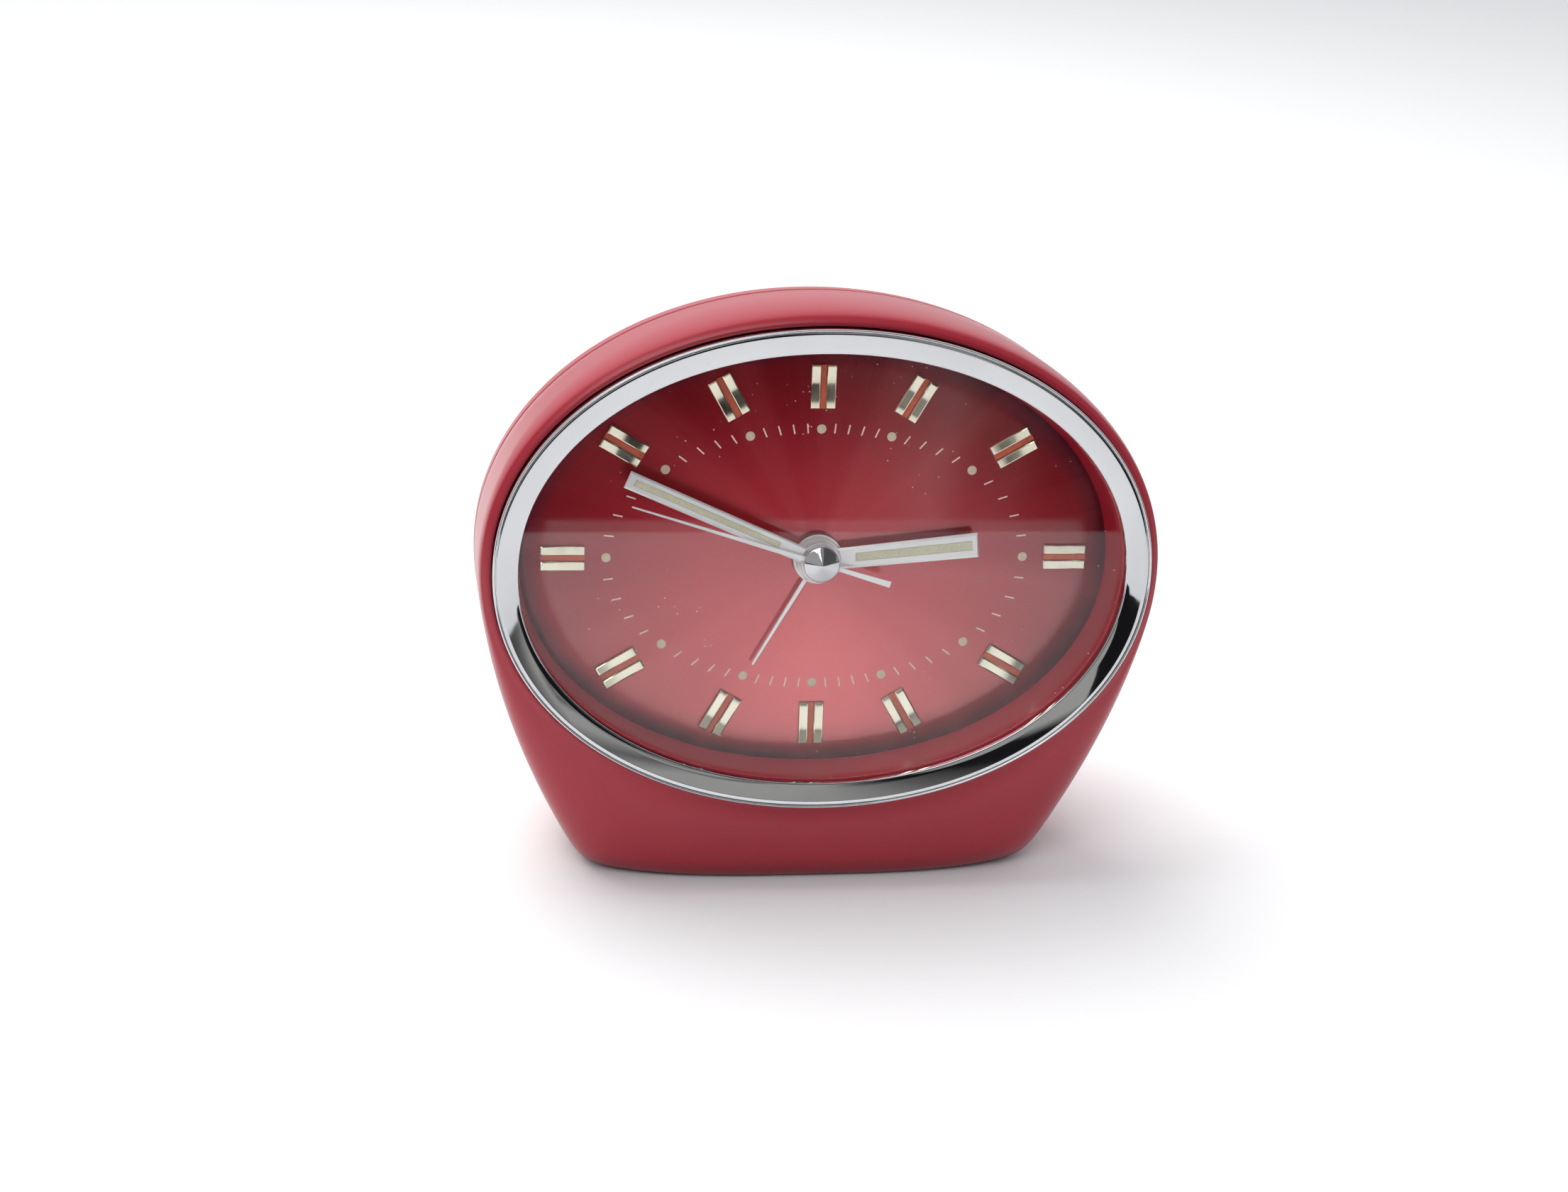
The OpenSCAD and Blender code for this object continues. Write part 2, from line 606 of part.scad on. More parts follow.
// a winding arbor: shoulder, ratchet seat and the stem that the key screws onto
module winding_arbor() union() {
    rod(centre, 1.2, front_in - 0.2, plate_front);
    rod(centre, 2, rear_in + 0.1, front_in - 0.1);
    rod(centre, 1.5, -49.4, rear_in + 0.2);
}
module ratchet() layer(-11.5, -10) difference() {
    saw(18, ratchet_r, 0.8);
    circle(r = 2.02);
}
module click() layer(-11.4, -10.2) difference() {
    union() {
        translate(click_offset) circle(r = 1.3);
        polygon([click_offset + [-1, -0.6], click_offset + [0.9, -0.9], [-5, -0.6], [-4.75, 0.1], [-5.4, 0.9],
                 click_offset + [0, 1.2]]);
    }
    translate(click_offset) circle(r = 0.7 + fit);
}
// butterfly key: a hub and two wings
module key() union() {
    difference() {
        union() {
            rod(centre, 3, -56, -43);
            rod(centre, 2.4, -43, -37);
        }
        rod(centre, 1.52, -49.5, -30);
    }
    for (s = [0, 180]) rotate(s) translate([0, 0, -56]) rotate([90, 0, 0])
        translate([0, 0, -0.8]) linear_extrude(1.6) difference() {
            union() {
                translate([2.6, 0]) square([5, 8.4]);
                translate([7.6, 4.2]) circle(r = 4.2);
            }
            translate([7.8, 4.2]) circle(r = 1.6);
        }
}
module mainspring(r) layer(spring_z[0], spring_z[1]) spiral(2.9, r, 8, 0.32);

module time_mainspring() color([0.35, 0.4, 0.5]) dial_frame() translate(time_p) mainspring(10.8);
module time_arbor() color(steel) dial_frame() translate(time_p) winding_arbor();
module time_ratchet() color(steel) dial_frame() translate(time_p) ratchet();
module time_click() color(steel) dial_frame() translate(time_p) click();
module time_key() color(brass) dial_frame() translate(time_p) rotate(20) key();

module alarm_great_wheel() color(brass) dial_frame() union() {
    translate(ring_p) layer(great_z[0], great_z[1])
        crossed_wheel(ring_teeth, ring_m, 4, 2.4, 9.4, 2 + fit, 45);
    rod(ring_p + click_offset, 0.7, great_z[0] - 1.9, great_z[0]);
}
module alarm_mainspring() color([0.35, 0.4, 0.5]) dial_frame() translate(ring_p) mainspring(10.2);
module alarm_arbor() color(steel) dial_frame() translate(ring_p) winding_arbor();
module alarm_ratchet() color(steel) dial_frame() translate(ring_p) ratchet();
module alarm_click() color(steel) dial_frame() translate(ring_p) click();
module alarm_key() color(brass) dial_frame() translate(ring_p) rotate(-25) key();

// ================= alarm =================
module alarm_escape_wheel() color(brass) dial_frame() translate(ring_escape_p) union() {
    arbor(0.7, 0.5);
    layer(-10.2, -8.2) gear(small_leaves, ring_m,
        meshed_at(ring_teeth, 0, small_leaves, ring_dir), pinion_fill);
    layer(-14.6, -14) polygon([for (k = [0:14]) each [polar(4, 24 * k), polar(2.9, 24 * k + 12)]]);
}
hammer_z = -31;
module alarm_hammer() color(steel) dial_frame() translate(hammer_p) union() {
    rod(centre, 0.8, rear_in + 0.3, front_in - 0.3);
    rod(centre, 0.6, front_in - 0.3, plate_front);
    rod(centre, 0.6, hammer_z, rear_in + 0.3);
    layer(-14.8, -13.8) difference() {
        union() {
            circle(r = 1.6);
            rotate(257) translate([0, -0.6]) square([4.4, 1.2]);
            rotate(257) translate([4.4, -2.2]) square([1, 4.4]);
        }
        circle(r = 0.5);
    }
    layer(hammer_z, hammer_z + 0.9) {
        circle(r = 1.8);
        rotate(122) translate([0, -0.7]) square([12, 1.4]);
        rotate(250) translate([0, -0.6]) square([4.2, 1.2]);
    }
    rotate(122) rod([12.2, 0], 1.7, hammer_z - 2.5, hammer_z + 1.5);
}
module bell() color([0.75, 0.74, 0.68]) dial_frame() translate([bell_p[0], bell_p[1], -34.5]) difference() {
    union() {
        cylinder(r1 = 9, r2 = 11.2, h = 2);
        translate([0, 0, 2]) cylinder(r = 11.2, h = 4.5);
    }
    translate([0, 0, 0.8]) cylinder(r1 = 8.4, r2 = 10.4, h = 1.6);
    translate([0, 0, 2.4]) cylinder(r = 10.4, h = 5);
    translate([0, 0, -1]) cylinder(r = 1.3, h = 4);
}
module bell_post() color(steel) dial_frame() translate(bell_p) union() {
    rod(centre, 2.2, -33.6, rear_out);
    rod(centre, 1, rear_out, rear_in);
    rod(centre, 1.25, -35.2, -33.6);
    rod(centre, 2.4, -36.2, -34.6);
}
module alarm_wheel() color(brass) dial_frame() difference() {
    union() {
        layer(-1.9, -1.3) gear(alarm_teeth, alarm_m);
        rod(centre, 2.6, -1.9, alarm_z + 0.25);
    }
    rod(centre, 2.1 + fit, -3, 3);
}
// leaf spring that lifts the hour wheel until the alarm trips
trip_p = [-16, -10];
module alarm_trip_spring() color([0.80, 0.60, 0.35]) dial_frame() layer(-4.7, -4.4) difference() {
    union() {
        translate(trip_p) circle(r = 1.8);
        polygon([trip_p + [-0.6, 1.2], trip_p + [0.6, -1.2], [-4.2, -4.6], [-4.8, -3.4]]);
    }
    translate(trip_p) circle(r = 0.9 + fit);
}

// ================= knobs, setting arbors and the stop button =================
module set_arbor(z) union() rod(centre, 0.8, -46, z);
module knob() difference() {
    union() {
        rod(centre, 4.1, -46.8, -42.8);
        rod(centre, 1.9, -42.8, -40);
        for (k = [0:20:340]) rotate(k) rod([4.1, 0], 0.35, -46.5, -43.1);
    }
    rod(centre, 0.82, -46.1, -38);
}
module time_set_arbor() color(steel) dial_frame() translate(time_set_p) union() {
    set_arbor(-5.4);
    layer(-5.4, -4.5) gear(cannon_teeth, cannon_m,
        meshed_at(minute_teeth, 0, cannon_teeth, time_set_dir), pinion_fill);
}
module time_set_knob() color(brass) dial_frame() translate(time_set_p) knob();
module alarm_set_arbor() color(steel) dial_frame() translate(alarm_set_p) union() {
    set_arbor(-2.1);
    layer(-2.1, -1.2) gear(cannon_teeth, alarm_m,
        meshed_at(alarm_teeth, 0, cannon_teeth, alarm_set_dir), pinion_fill);
}
module alarm_set_knob() color(brass) dial_frame() translate(alarm_set_p) knob();

stop_travel = 3;
module alarm_stop_button() color(chrome) dial_frame() translate(stop_p) union() {
    rod(centre, 1.3, -47, -33);
    rod(centre, 2.2, -39, -37.6);
    rod(centre, 2.8, -49.5, -46.5);
}

front_case();
rear_case();
bezel();
lens();
dial_ring();
dial_plate();
hour_markers();
marker_stripes();
minute_dots();
minute_ticks();
hour_hand();
hour_lume();
minute_hand();
minute_lume();
second_hand();
hub_cap();
alarm_hand();
front_plate();
rear_plate();
plate_pillars();
plate_nuts();
movement_screws();
case_posts();
case_screws();
great_wheel();
centre_arbor();
centre_wheel();
cannon_pinion();
minute_wheel();
hour_wheel();
third_wheel();
fourth_wheel();
escape_wheel();
pallet_lever();
balance_wheel();
hairspring();
balance_jewels();
regulator_lever();
time_mainspring();
time_arbor();
time_ratchet();
time_click();
time_key();
alarm_great_wheel();
alarm_mainspring();
alarm_arbor();
alarm_ratchet();
alarm_click();
alarm_key();
alarm_escape_wheel();
alarm_hammer();
bell();
bell_post();
alarm_wheel();
alarm_set_arbor();
alarm_set_knob();
time_set_arbor();
time_set_knob();
alarm_trip_spring();
alarm_stop_button();
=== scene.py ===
# Looks of the oval wind-up alarm clock. Everything is laid out in the dial's own frame, in
# millimetres (x right, y up the dial, z towards the viewer), and moved into the row frame.
import json
import math
import bmesh
import bpy
import numpy as np
from mathutils import Matrix, Vector


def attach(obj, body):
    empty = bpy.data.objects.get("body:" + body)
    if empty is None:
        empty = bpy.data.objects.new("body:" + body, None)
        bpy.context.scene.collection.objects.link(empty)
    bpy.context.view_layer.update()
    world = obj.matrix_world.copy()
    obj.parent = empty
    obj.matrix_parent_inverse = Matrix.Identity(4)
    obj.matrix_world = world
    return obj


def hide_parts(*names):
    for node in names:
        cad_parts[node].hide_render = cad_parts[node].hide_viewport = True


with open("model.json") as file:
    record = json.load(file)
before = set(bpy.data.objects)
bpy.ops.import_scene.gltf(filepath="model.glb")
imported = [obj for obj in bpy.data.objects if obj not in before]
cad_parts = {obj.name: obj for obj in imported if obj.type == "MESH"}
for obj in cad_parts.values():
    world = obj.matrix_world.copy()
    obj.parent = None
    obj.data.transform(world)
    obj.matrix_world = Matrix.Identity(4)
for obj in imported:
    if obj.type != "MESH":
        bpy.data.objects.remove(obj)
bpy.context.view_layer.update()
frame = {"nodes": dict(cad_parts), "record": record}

NODES = frame["nodes"]
scene = bpy.context.scene

# ---------------------------------------------------------------- sizes shared with the design
LEAN = math.radians(7)
DIAL_H, DIAL_Y = 55.75, 18.474
CASE_A, CASE_B, CASE_DROP = 59.25, 45.8, 90.4
WALL, SEAM_Z, TAPER_Z, BACK_Z = 2.2, -8.35, -11.35, -42.0
OPEN_A, OPEN_B, BEZEL_W = 52.5, 37.6, 4.5
TRACK_A, TRACK_B, MARK_A, MARK_B = 36.9, 22.8, 44.45, 30.25
MINUTE_AT, HOUR_AT, SECOND_AT, ALARM_AT = 293.5, 84.4, 287.0, 210.0
LIP_A, LIP_B, LIP_Z, SEAT_Z, LEDGE_Z = 58.6, 43.8, 9.7, 8.2, 6.2
UPPER_N, LOWER_N, OVAL_N, FOOT_ROUND, ROLL_N = 2.02, 1.6, 2.05, 38, 2.2
BACK_INSET = 18.0
PANEL_IN = BACK_Z + WALL

MM = 0.001
DIAL = (Matrix.Translation((0, -DIAL_Y * MM, DIAL_H * MM))
        @ Matrix.Rotation(math.radians(90) - LEAN, 4, "X") @ Matrix.Scale(MM, 4))


def ease(x):
    u = min(1.0, max(0.0, x))
    return u * u * (3 - 2 * u)


def oval_r(t, a, b, n=OVAL_N):
    r = math.radians(t)
    return ((abs(math.sin(r)) / a) ** n + (abs(math.cos(r)) / b) ** n) ** (-1 / n)


def foot_y(z, up=0.0):
    return (DIAL_H - up + z * math.sin(LEAN)) / math.cos(LEAN)


def case_r(t, z, off=0.0, up=0.0):
    k = ease((abs(t) - 90) / 12)
    n = UPPER_N + (LOWER_N - UPPER_N) * k
    b = CASE_B + (CASE_DROP - CASE_B) * k
    r = oval_r(t, CASE_A - off, b - off, n)
    c = math.cos(math.radians(t))
    over = -c * r / foot_y(z, up) if c < 0 else 0.0
    return r * (1 + over ** FOOT_ROUND) ** (-1 / FOOT_ROUND)


def roll_depth(t):
    r = case_r(t, 0)
    x, y = abs(r * math.sin(math.radians(t))), -r * math.cos(math.radians(t))
    if y <= 0:
        return 3 + 10 * math.cos(math.radians(t)) ** 2
    side = 3 + 9.3 * (y / 55.8) ** 1.31
    foot = 4.5 + 7.8 * (x / 40.2) ** 3.4
    m = -6.0
    return (side ** m + foot ** m) ** (1 / m) if abs(side - foot) < 6 else min(side, foot)


def back_off(z):
    return BACK_INSET * ((TAPER_Z - z) / (TAPER_Z - BACK_Z)) ** 1.6 if z < TAPER_Z else 0.0


# angles round the case, closer together at the corners of the foot
TURN = []
t = 0.0
while t < 180:
    TURN.append(t)
    t += 0.5 if 136 <= t < 156 else 1.0
TURN.append(180.0)
TURN = TURN + [-a for a in TURN[-2:0:-1]]


def pol(t, r, z):
    a = math.radians(t)
    return (r * math.sin(a), r * math.cos(a), z)


def oval_ring(off, z):
    return [pol(t, oval_r(t, OPEN_A + off, OPEN_B + off), z) for t in TURN]


def wall_ring(z, off=0.0, up=0.0):
    return [pol(t, case_r(t, z, off, up), z) for t in TURN]


def roll_ring(p, inside=False):
    out = []
    s, c = math.sin(math.radians(p)), max(math.cos(math.radians(p)), 0.0)
    for t in TURN:
        h = roll_depth(t)
        z0 = LEDGE_Z if inside else LIP_Z
        r0 = oval_r(t, OPEN_A + 2.7, OPEN_B + 2.7) if inside else oval_r(t, LIP_A, LIP_B)
        r1 = case_r(t, z0 - h, WALL, WALL) if inside else case_r(t, z0 - h)
        e = 2 / (1.7 + (ROLL_N - 1.7) * ease((abs(t) - 60) / 60))
        out.append(pol(t, r0 + (r1 - r0) * s ** e, z0 - h * (1 - c ** e)))
    return out


def side_ring(f, inside=False):
    out = []
    for t in TURN:
        z0 = (LEDGE_Z if inside else LIP_Z) - roll_depth(t)
        z = z0 + (SEAM_Z - z0) * f
        out.append(pol(t, case_r(t, z, WALL, WALL) if inside else case_r(t, z), z))
    return out


# ---------------------------------------------------------------- mesh helpers
def new_object(name, verts, faces, smooth=True, place=DIAL):
    me = bpy.data.meshes.new(name)
    me.from_pydata([tuple(v) for v in verts], [], faces)
    me.update()
    bm = bmesh.new()
    bm.from_mesh(me)
    bmesh.ops.recalc_face_normals(bm, faces=bm.faces)
    bm.to_mesh(me)
    bm.free()
    if place is not None:
        me.transform(place)
    for p in me.polygons:
        p.use_smooth = smooth
    ob = bpy.data.objects.new(name, me)
    scene.collection.objects.link(ob)
    return ob


def hard_edges(ob, degrees=32):
    """Smooth shading that stays crisp at edges sharper than this."""
    bm = bmesh.new()
    bm.from_mesh(ob.data)
    lim = math.radians(degrees)
    for e in bm.edges:
        if len(e.link_faces) == 2 and e.calc_face_angle(0) > lim:
            e.smooth = False
    bm.to_mesh(ob.data)
    bm.free()
    return ob


def rings_mesh(name, rings, closed=True, caps=False, place=DIAL, degrees=32):
    n, m = len(rings[0]), len(rings)
    verts = [p for r in rings for p in r]
    faces = []
    for j in range(m if closed else m - 1):
        for i in range(n):
            a, b = j * n + i, j * n + (i + 1) % n
            c, d = ((j + 1) % m) * n + (i + 1) % n, ((j + 1) % m) * n + i
            faces.append((a, b, c, d))
    if caps:
        faces.append(tuple(range(n)))
        faces.append(tuple((m - 1) * n + i for i in reversed(range(n))))
    return hard_edges(new_object(name, verts, faces, place=place), degrees)


def join(name, parts):
    bpy.context.view_layer.update()
    bm = bmesh.new()
    for o in parts:
        bm.from_mesh(o.data)
    me = bpy.data.meshes.new(name)
    bm.to_mesh(me)
    bm.free()
    for o in parts:
        old = o.data
        bpy.data.objects.remove(o)
        bpy.data.meshes.remove(old)
    ob = bpy.data.objects.new(name, me)
    scene.collection.objects.link(ob)
    return ob


def lathe(name, profile, at=(0, 0), steps=96, place=DIAL, degrees=32):
    """profile: (radius, z) pairs in order, on an axis along z."""
    rings = []
    for r, z in profile:
        rings.append([(at[0] + r * math.cos(2 * math.pi * i / steps),
                       at[1] + r * math.sin(2 * math.pi * i / steps), z) for i in range(steps)])
    return rings_mesh(name, rings, closed=False, caps=True, place=place, degrees=degrees)


def slab(name, outline, z0, z1, bevel=0.0, top_bevel=None):
    """An extruded outline. One that is chamfered is convex."""
    n = len(outline)
    pts = np.array(outline, float)
    b = bevel if top_bevel is None else top_bevel

    def inset(d):
        if d == 0:
            return pts
        out = []
        area = sum(pts[i][0] * pts[(i + 1) % n][1] - pts[(i + 1) % n][0] * pts[i][1] for i in range(n))
        sgn = 1 if area > 0 else -1
        for i in range(n):
            p, q, r = pts[i - 1], pts[i], pts[(i + 1) % n]
            u = (q - p) / np.linalg.norm(q - p)
            v = (r - q) / np.linalg.norm(r - q)
            nu, nv = sgn * np.array([-u[1], u[0]]), sgn * np.array([-v[1], v[0]])
            k = nu + nv
            out.append(q + k * d / max(0.3, 1 + nu.dot(nv)))
        return np.array(out)
    rings = []
    if bevel:
        rings.append([(p[0], p[1], z0) for p in inset(bevel)])
    rings.append([(p[0], p[1], z0 + bevel) for p in pts])
    rings.append([(p[0], p[1], z1 - b) for p in pts])
    if b:
        rings.append([(p[0], p[1], z1) for p in inset(b)])
    return rings_mesh(name, rings, closed=False, caps=True)


# ---------------------------------------------------------------- materials
def nodes_of(mat):
    mat.use_nodes = True
    nt = mat.node_tree
    nt.nodes.clear()
    out = nt.nodes.new("ShaderNodeOutputMaterial")
    b = nt.nodes.new("ShaderNodeBsdfPrincipled")
    nt.links.new(b.outputs[0], out.inputs[0])
    return nt, b, out


def node(nt, kind, **settings):
    n = nt.nodes.new(kind)
    for k, v in settings.items():
        if k in n.inputs:
            n.inputs[k].default_value = v
        else:
            setattr(n, k, v)
    return n


def coords(nt, stretch=(1, 1, 1)):
    """Object coordinates in millimetres, stretched along each axis."""
    tc = node(nt, "ShaderNodeTexCoord")
    mp = node(nt, "ShaderNodeMapping")
    mp.inputs["Scale"].default_value = [1000 * s for s in stretch]
    nt.links.new(tc.outputs["Object"], mp.inputs["Vector"])
    return mp.outputs["Vector"]


def dial_coords(nt):
    """Coordinates in the dial's frame, in millimetres."""
    tc = node(nt, "ShaderNodeTexCoord")
    inv = DIAL.inverted()
    mp = node(nt, "ShaderNodeMapping")
    mp.inputs["Location"].default_value = inv.to_translation()
    mp.inputs["Rotation"].default_value = DIAL.to_quaternion().inverted().to_euler()
    mp.inputs["Scale"].default_value = (1000, 1000, 1000)
    nt.links.new(tc.outputs["Object"], mp.inputs["Vector"])
    return mp.outputs["Vector"]


def noise(nt, vec, scale, detail=4.0, rough=0.5):
    n = node(nt, "ShaderNodeTexNoise", Scale=scale, Detail=detail, Roughness=rough)
    nt.links.new(vec, n.inputs["Vector"])
    return n.outputs["Fac"]


def ramp(nt, value, stops):
    r = node(nt, "ShaderNodeValToRGB")
    e = r.color_ramp.elements
    e[0].position, e[0].color = stops[0][0], (*stops[0][1], 1)
    e[1].position, e[1].color = stops[-1][0], (*stops[-1][1], 1)
    for p, c in stops[1:-1]:
        x = e.new(p)
        x.color = (*c, 1)
    nt.links.new(value, r.inputs["Fac"])
    return r.outputs["Color"]


def level(nt, value, lo, hi, a=0.0, b=1.0):
    m = node(nt, "ShaderNodeMapRange")
    m.inputs["From Min"].default_value = a
    m.inputs["From Max"].default_value = b
    m.inputs["To Min"].default_value = lo
    m.inputs["To Max"].default_value = hi
    nt.links.new(value, m.inputs["Value"])
    return m.outputs["Result"]


def maths(nt, op, a, b=None):
    m = node(nt, "ShaderNodeMath", operation=op)
    for i, v in enumerate((a, b)):
        if v is None:
            continue
        if isinstance(v, (int, float)):
            m.inputs[i].default_value = v
        else:
            nt.links.new(v, m.inputs[i])
    return m.outputs[0]


def mix(nt, fac, a, b):
    m = node(nt, "ShaderNodeMix", data_type="RGBA")
    for i, v in ((0, fac), (6, a), (7, b)):
        if isinstance(v, (int, float)):
            m.inputs[i].default_value = v
        elif isinstance(v, tuple):
            m.inputs[i].default_value = (*v, 1)
        else:
            nt.links.new(v, m.inputs[i])
    return m.outputs[2]


def bump(nt, b, height, strength, distance):
    n = node(nt, "ShaderNodeBump", Strength=strength, Distance=distance)
    nt.links.new(height, n.inputs["Height"])
    nt.links.new(n.outputs["Normal"], b.inputs["Normal"])


def plastic(name, dark, light, rough=(0.3, 0.42), spec=0.5, coat=0.0, foot_shade_z=None, orange=0.02):
    """Moulded plastic: faint colour clouding, fine orange-peel, dust specks, and optional painted shade near
    the foot.
    """
    mat = bpy.data.materials.new(name)
    nt, b, _ = nodes_of(mat)
    v = coords(nt)
    cloud = noise(nt, v, 0.045, 3)
    fine = noise(nt, v, 1.4, 2)
    col = ramp(nt, cloud, [(0.3, dark), (0.7, light)])
    specks = node(nt, "ShaderNodeTexVoronoi", Scale=0.42, Randomness=1.0)
    nt.links.new(v, specks.inputs["Vector"])
    dust = level(nt, specks.outputs["Distance"], 1.0, 0.0, 0.02, 0.05)
    thin = level(nt, noise(nt, v, 0.09, 1), 0.0, 0.55, 0.5, 0.66)
    col = mix(nt, maths(nt, "MULTIPLY", dust, thin), col, (0.55, 0.30, 0.30))
    # painted shade: the colour darkens towards a deep red over the 4.5 mm above the given height, standing in
    # for the shadow at the case's foot
    if foot_shade_z is not None:
        sep = node(nt, "ShaderNodeSeparateXYZ")
        nt.links.new(v, sep.inputs[0])
        col = mix(nt, level(nt, sep.outputs[2], 0.62, 0.0, foot_shade_z, foot_shade_z + 4.5), col, tuple(c * 0.3 for c in dark))
    nt.links.new(col, b.inputs["Base Color"])
    nt.links.new(level(nt, noise(nt, v, 0.03, 2, 0.4), rough[0], rough[1], 0.3, 0.7), b.inputs["Roughness"])
    b.inputs["Specular IOR Level"].default_value = spec
    b.inputs["Coat Weight"].default_value = coat
    b.inputs["Coat Roughness"].default_value = 0.12
    bump(nt, b, fine, orange * 5, 0.000006)
    return mat


def metal(name, tint, shade, rough=(0.12, 0.25), stretch=(1, 1, 1), scale=1.5, depth=0.05, spots=0.0,
          metallic=1.0):
    """Metal with brushed or polished grain. stretch sets which way the grain runs."""
    mat = bpy.data.materials.new(name)
    nt, b, _ = nodes_of(mat)
    b.inputs["Metallic"].default_value = metallic
    v = coords(nt, stretch)
    g = noise(nt, v, scale, 3)
    big = noise(nt, coords(nt), 0.08, 3)
    col = ramp(nt, big, [(0.3, shade), (0.7, tint)])
    if spots:
        tiny = noise(nt, coords(nt), 0.8, 4, 0.7)
        col = mix(nt, level(nt, tiny, 0.0, spots, 0.62, 0.72), col, tuple(c * 0.45 for c in shade))
    nt.links.new(col, b.inputs["Base Color"])
    nt.links.new(level(nt, g, rough[0], rough[1], 0.3, 0.7), b.inputs["Roughness"])
    bump(nt, b, g, depth, 0.00003)
    return mat


def paint(name, dark, light, rough=0.5, grain=1.2, depth=0.1):
    mat = bpy.data.materials.new(name)
    nt, b, _ = nodes_of(mat)
    v = coords(nt)
    n = noise(nt, v, grain, 4)
    nt.links.new(ramp(nt, n, [(0.3, dark), (0.7, light)]), b.inputs["Base Color"])
    nt.links.new(level(nt, n, rough - 0.08, rough + 0.08, 0.3, 0.7), b.inputs["Roughness"])
    bump(nt, b, n, depth, 0.00003)
    return mat


def set_mat(ob, mat):
    ob.data.materials.clear()
    ob.data.materials.append(mat)
    return ob


# the case red gets painted shade over its lowest 4.5 mm (the last argument)
RED = plastic("case red", (0.325, 0.0115, 0.026), (0.342, 0.0125, 0.028), (0.283, 0.31), 0.5, 0.0, 0.0)
# painted light: the surround's red is set lighter than the case red, standing in for light falling into the
# dial's recess
RING_RED = plastic("ring red", (0.46, 0.012, 0.028), (0.54, 0.016, 0.036), (0.28, 0.36), 0.5, 0.12)
CHROME = metal("chrome", (0.60, 0.605, 0.615), (0.56, 0.565, 0.58), (0.012, 0.03), scale=0.25, depth=0.004,
               spots=0.12)
SILVER = metal("hand silver", (0.90, 0.895, 0.875), (0.82, 0.815, 0.795), (0.16, 0.26), scale=1.1, depth=0.02,
               metallic=0.45)
MARKER = metal("marker gilt", (0.84, 0.79, 0.64), (0.76, 0.70, 0.54), (0.08, 0.14), scale=0.4, depth=0.006)
STRIPE = paint("marker stripe", (0.52, 0.085, 0.032), (0.62, 0.12, 0.048), 0.42)
LUME = paint("lume", (0.56, 0.53, 0.36), (0.66, 0.63, 0.46), 0.75, 2.6, 0.5)
CREAM = paint("cream print", (0.62, 0.50, 0.34), (0.72, 0.60, 0.44), 0.6, 2.0, 0.1)
LINE = paint("line print", (0.86, 0.62, 0.52), (0.94, 0.72, 0.62), 0.5, 2.0, 0.1)
BRASS = metal("brass", (0.74, 0.53, 0.24), (0.58, 0.40, 0.17), (0.28, 0.38), (1, 1, 6), 0.9, 0.12, 0.3)
STEEL = metal("steel", (0.68, 0.69, 0.71), (0.52, 0.53, 0.56), (0.28, 0.4), (1, 6, 1), 0.9, 0.1, 0.3)
BLUED = metal("blued steel", (0.16, 0.20, 0.34), (0.10, 0.12, 0.22), (0.28, 0.36), (1, 6, 1), 0.9, 0.1)
RUBY = plastic("ruby", (0.45, 0.01, 0.05), (0.6, 0.02, 0.08), (0.05, 0.12), 0.6, 0.6)
NICKEL = metal("bell nickel", (0.78, 0.76, 0.70), (0.66, 0.64, 0.58), (0.12, 0.26), (1, 6, 1), 0.8, 0.06, 0.2)


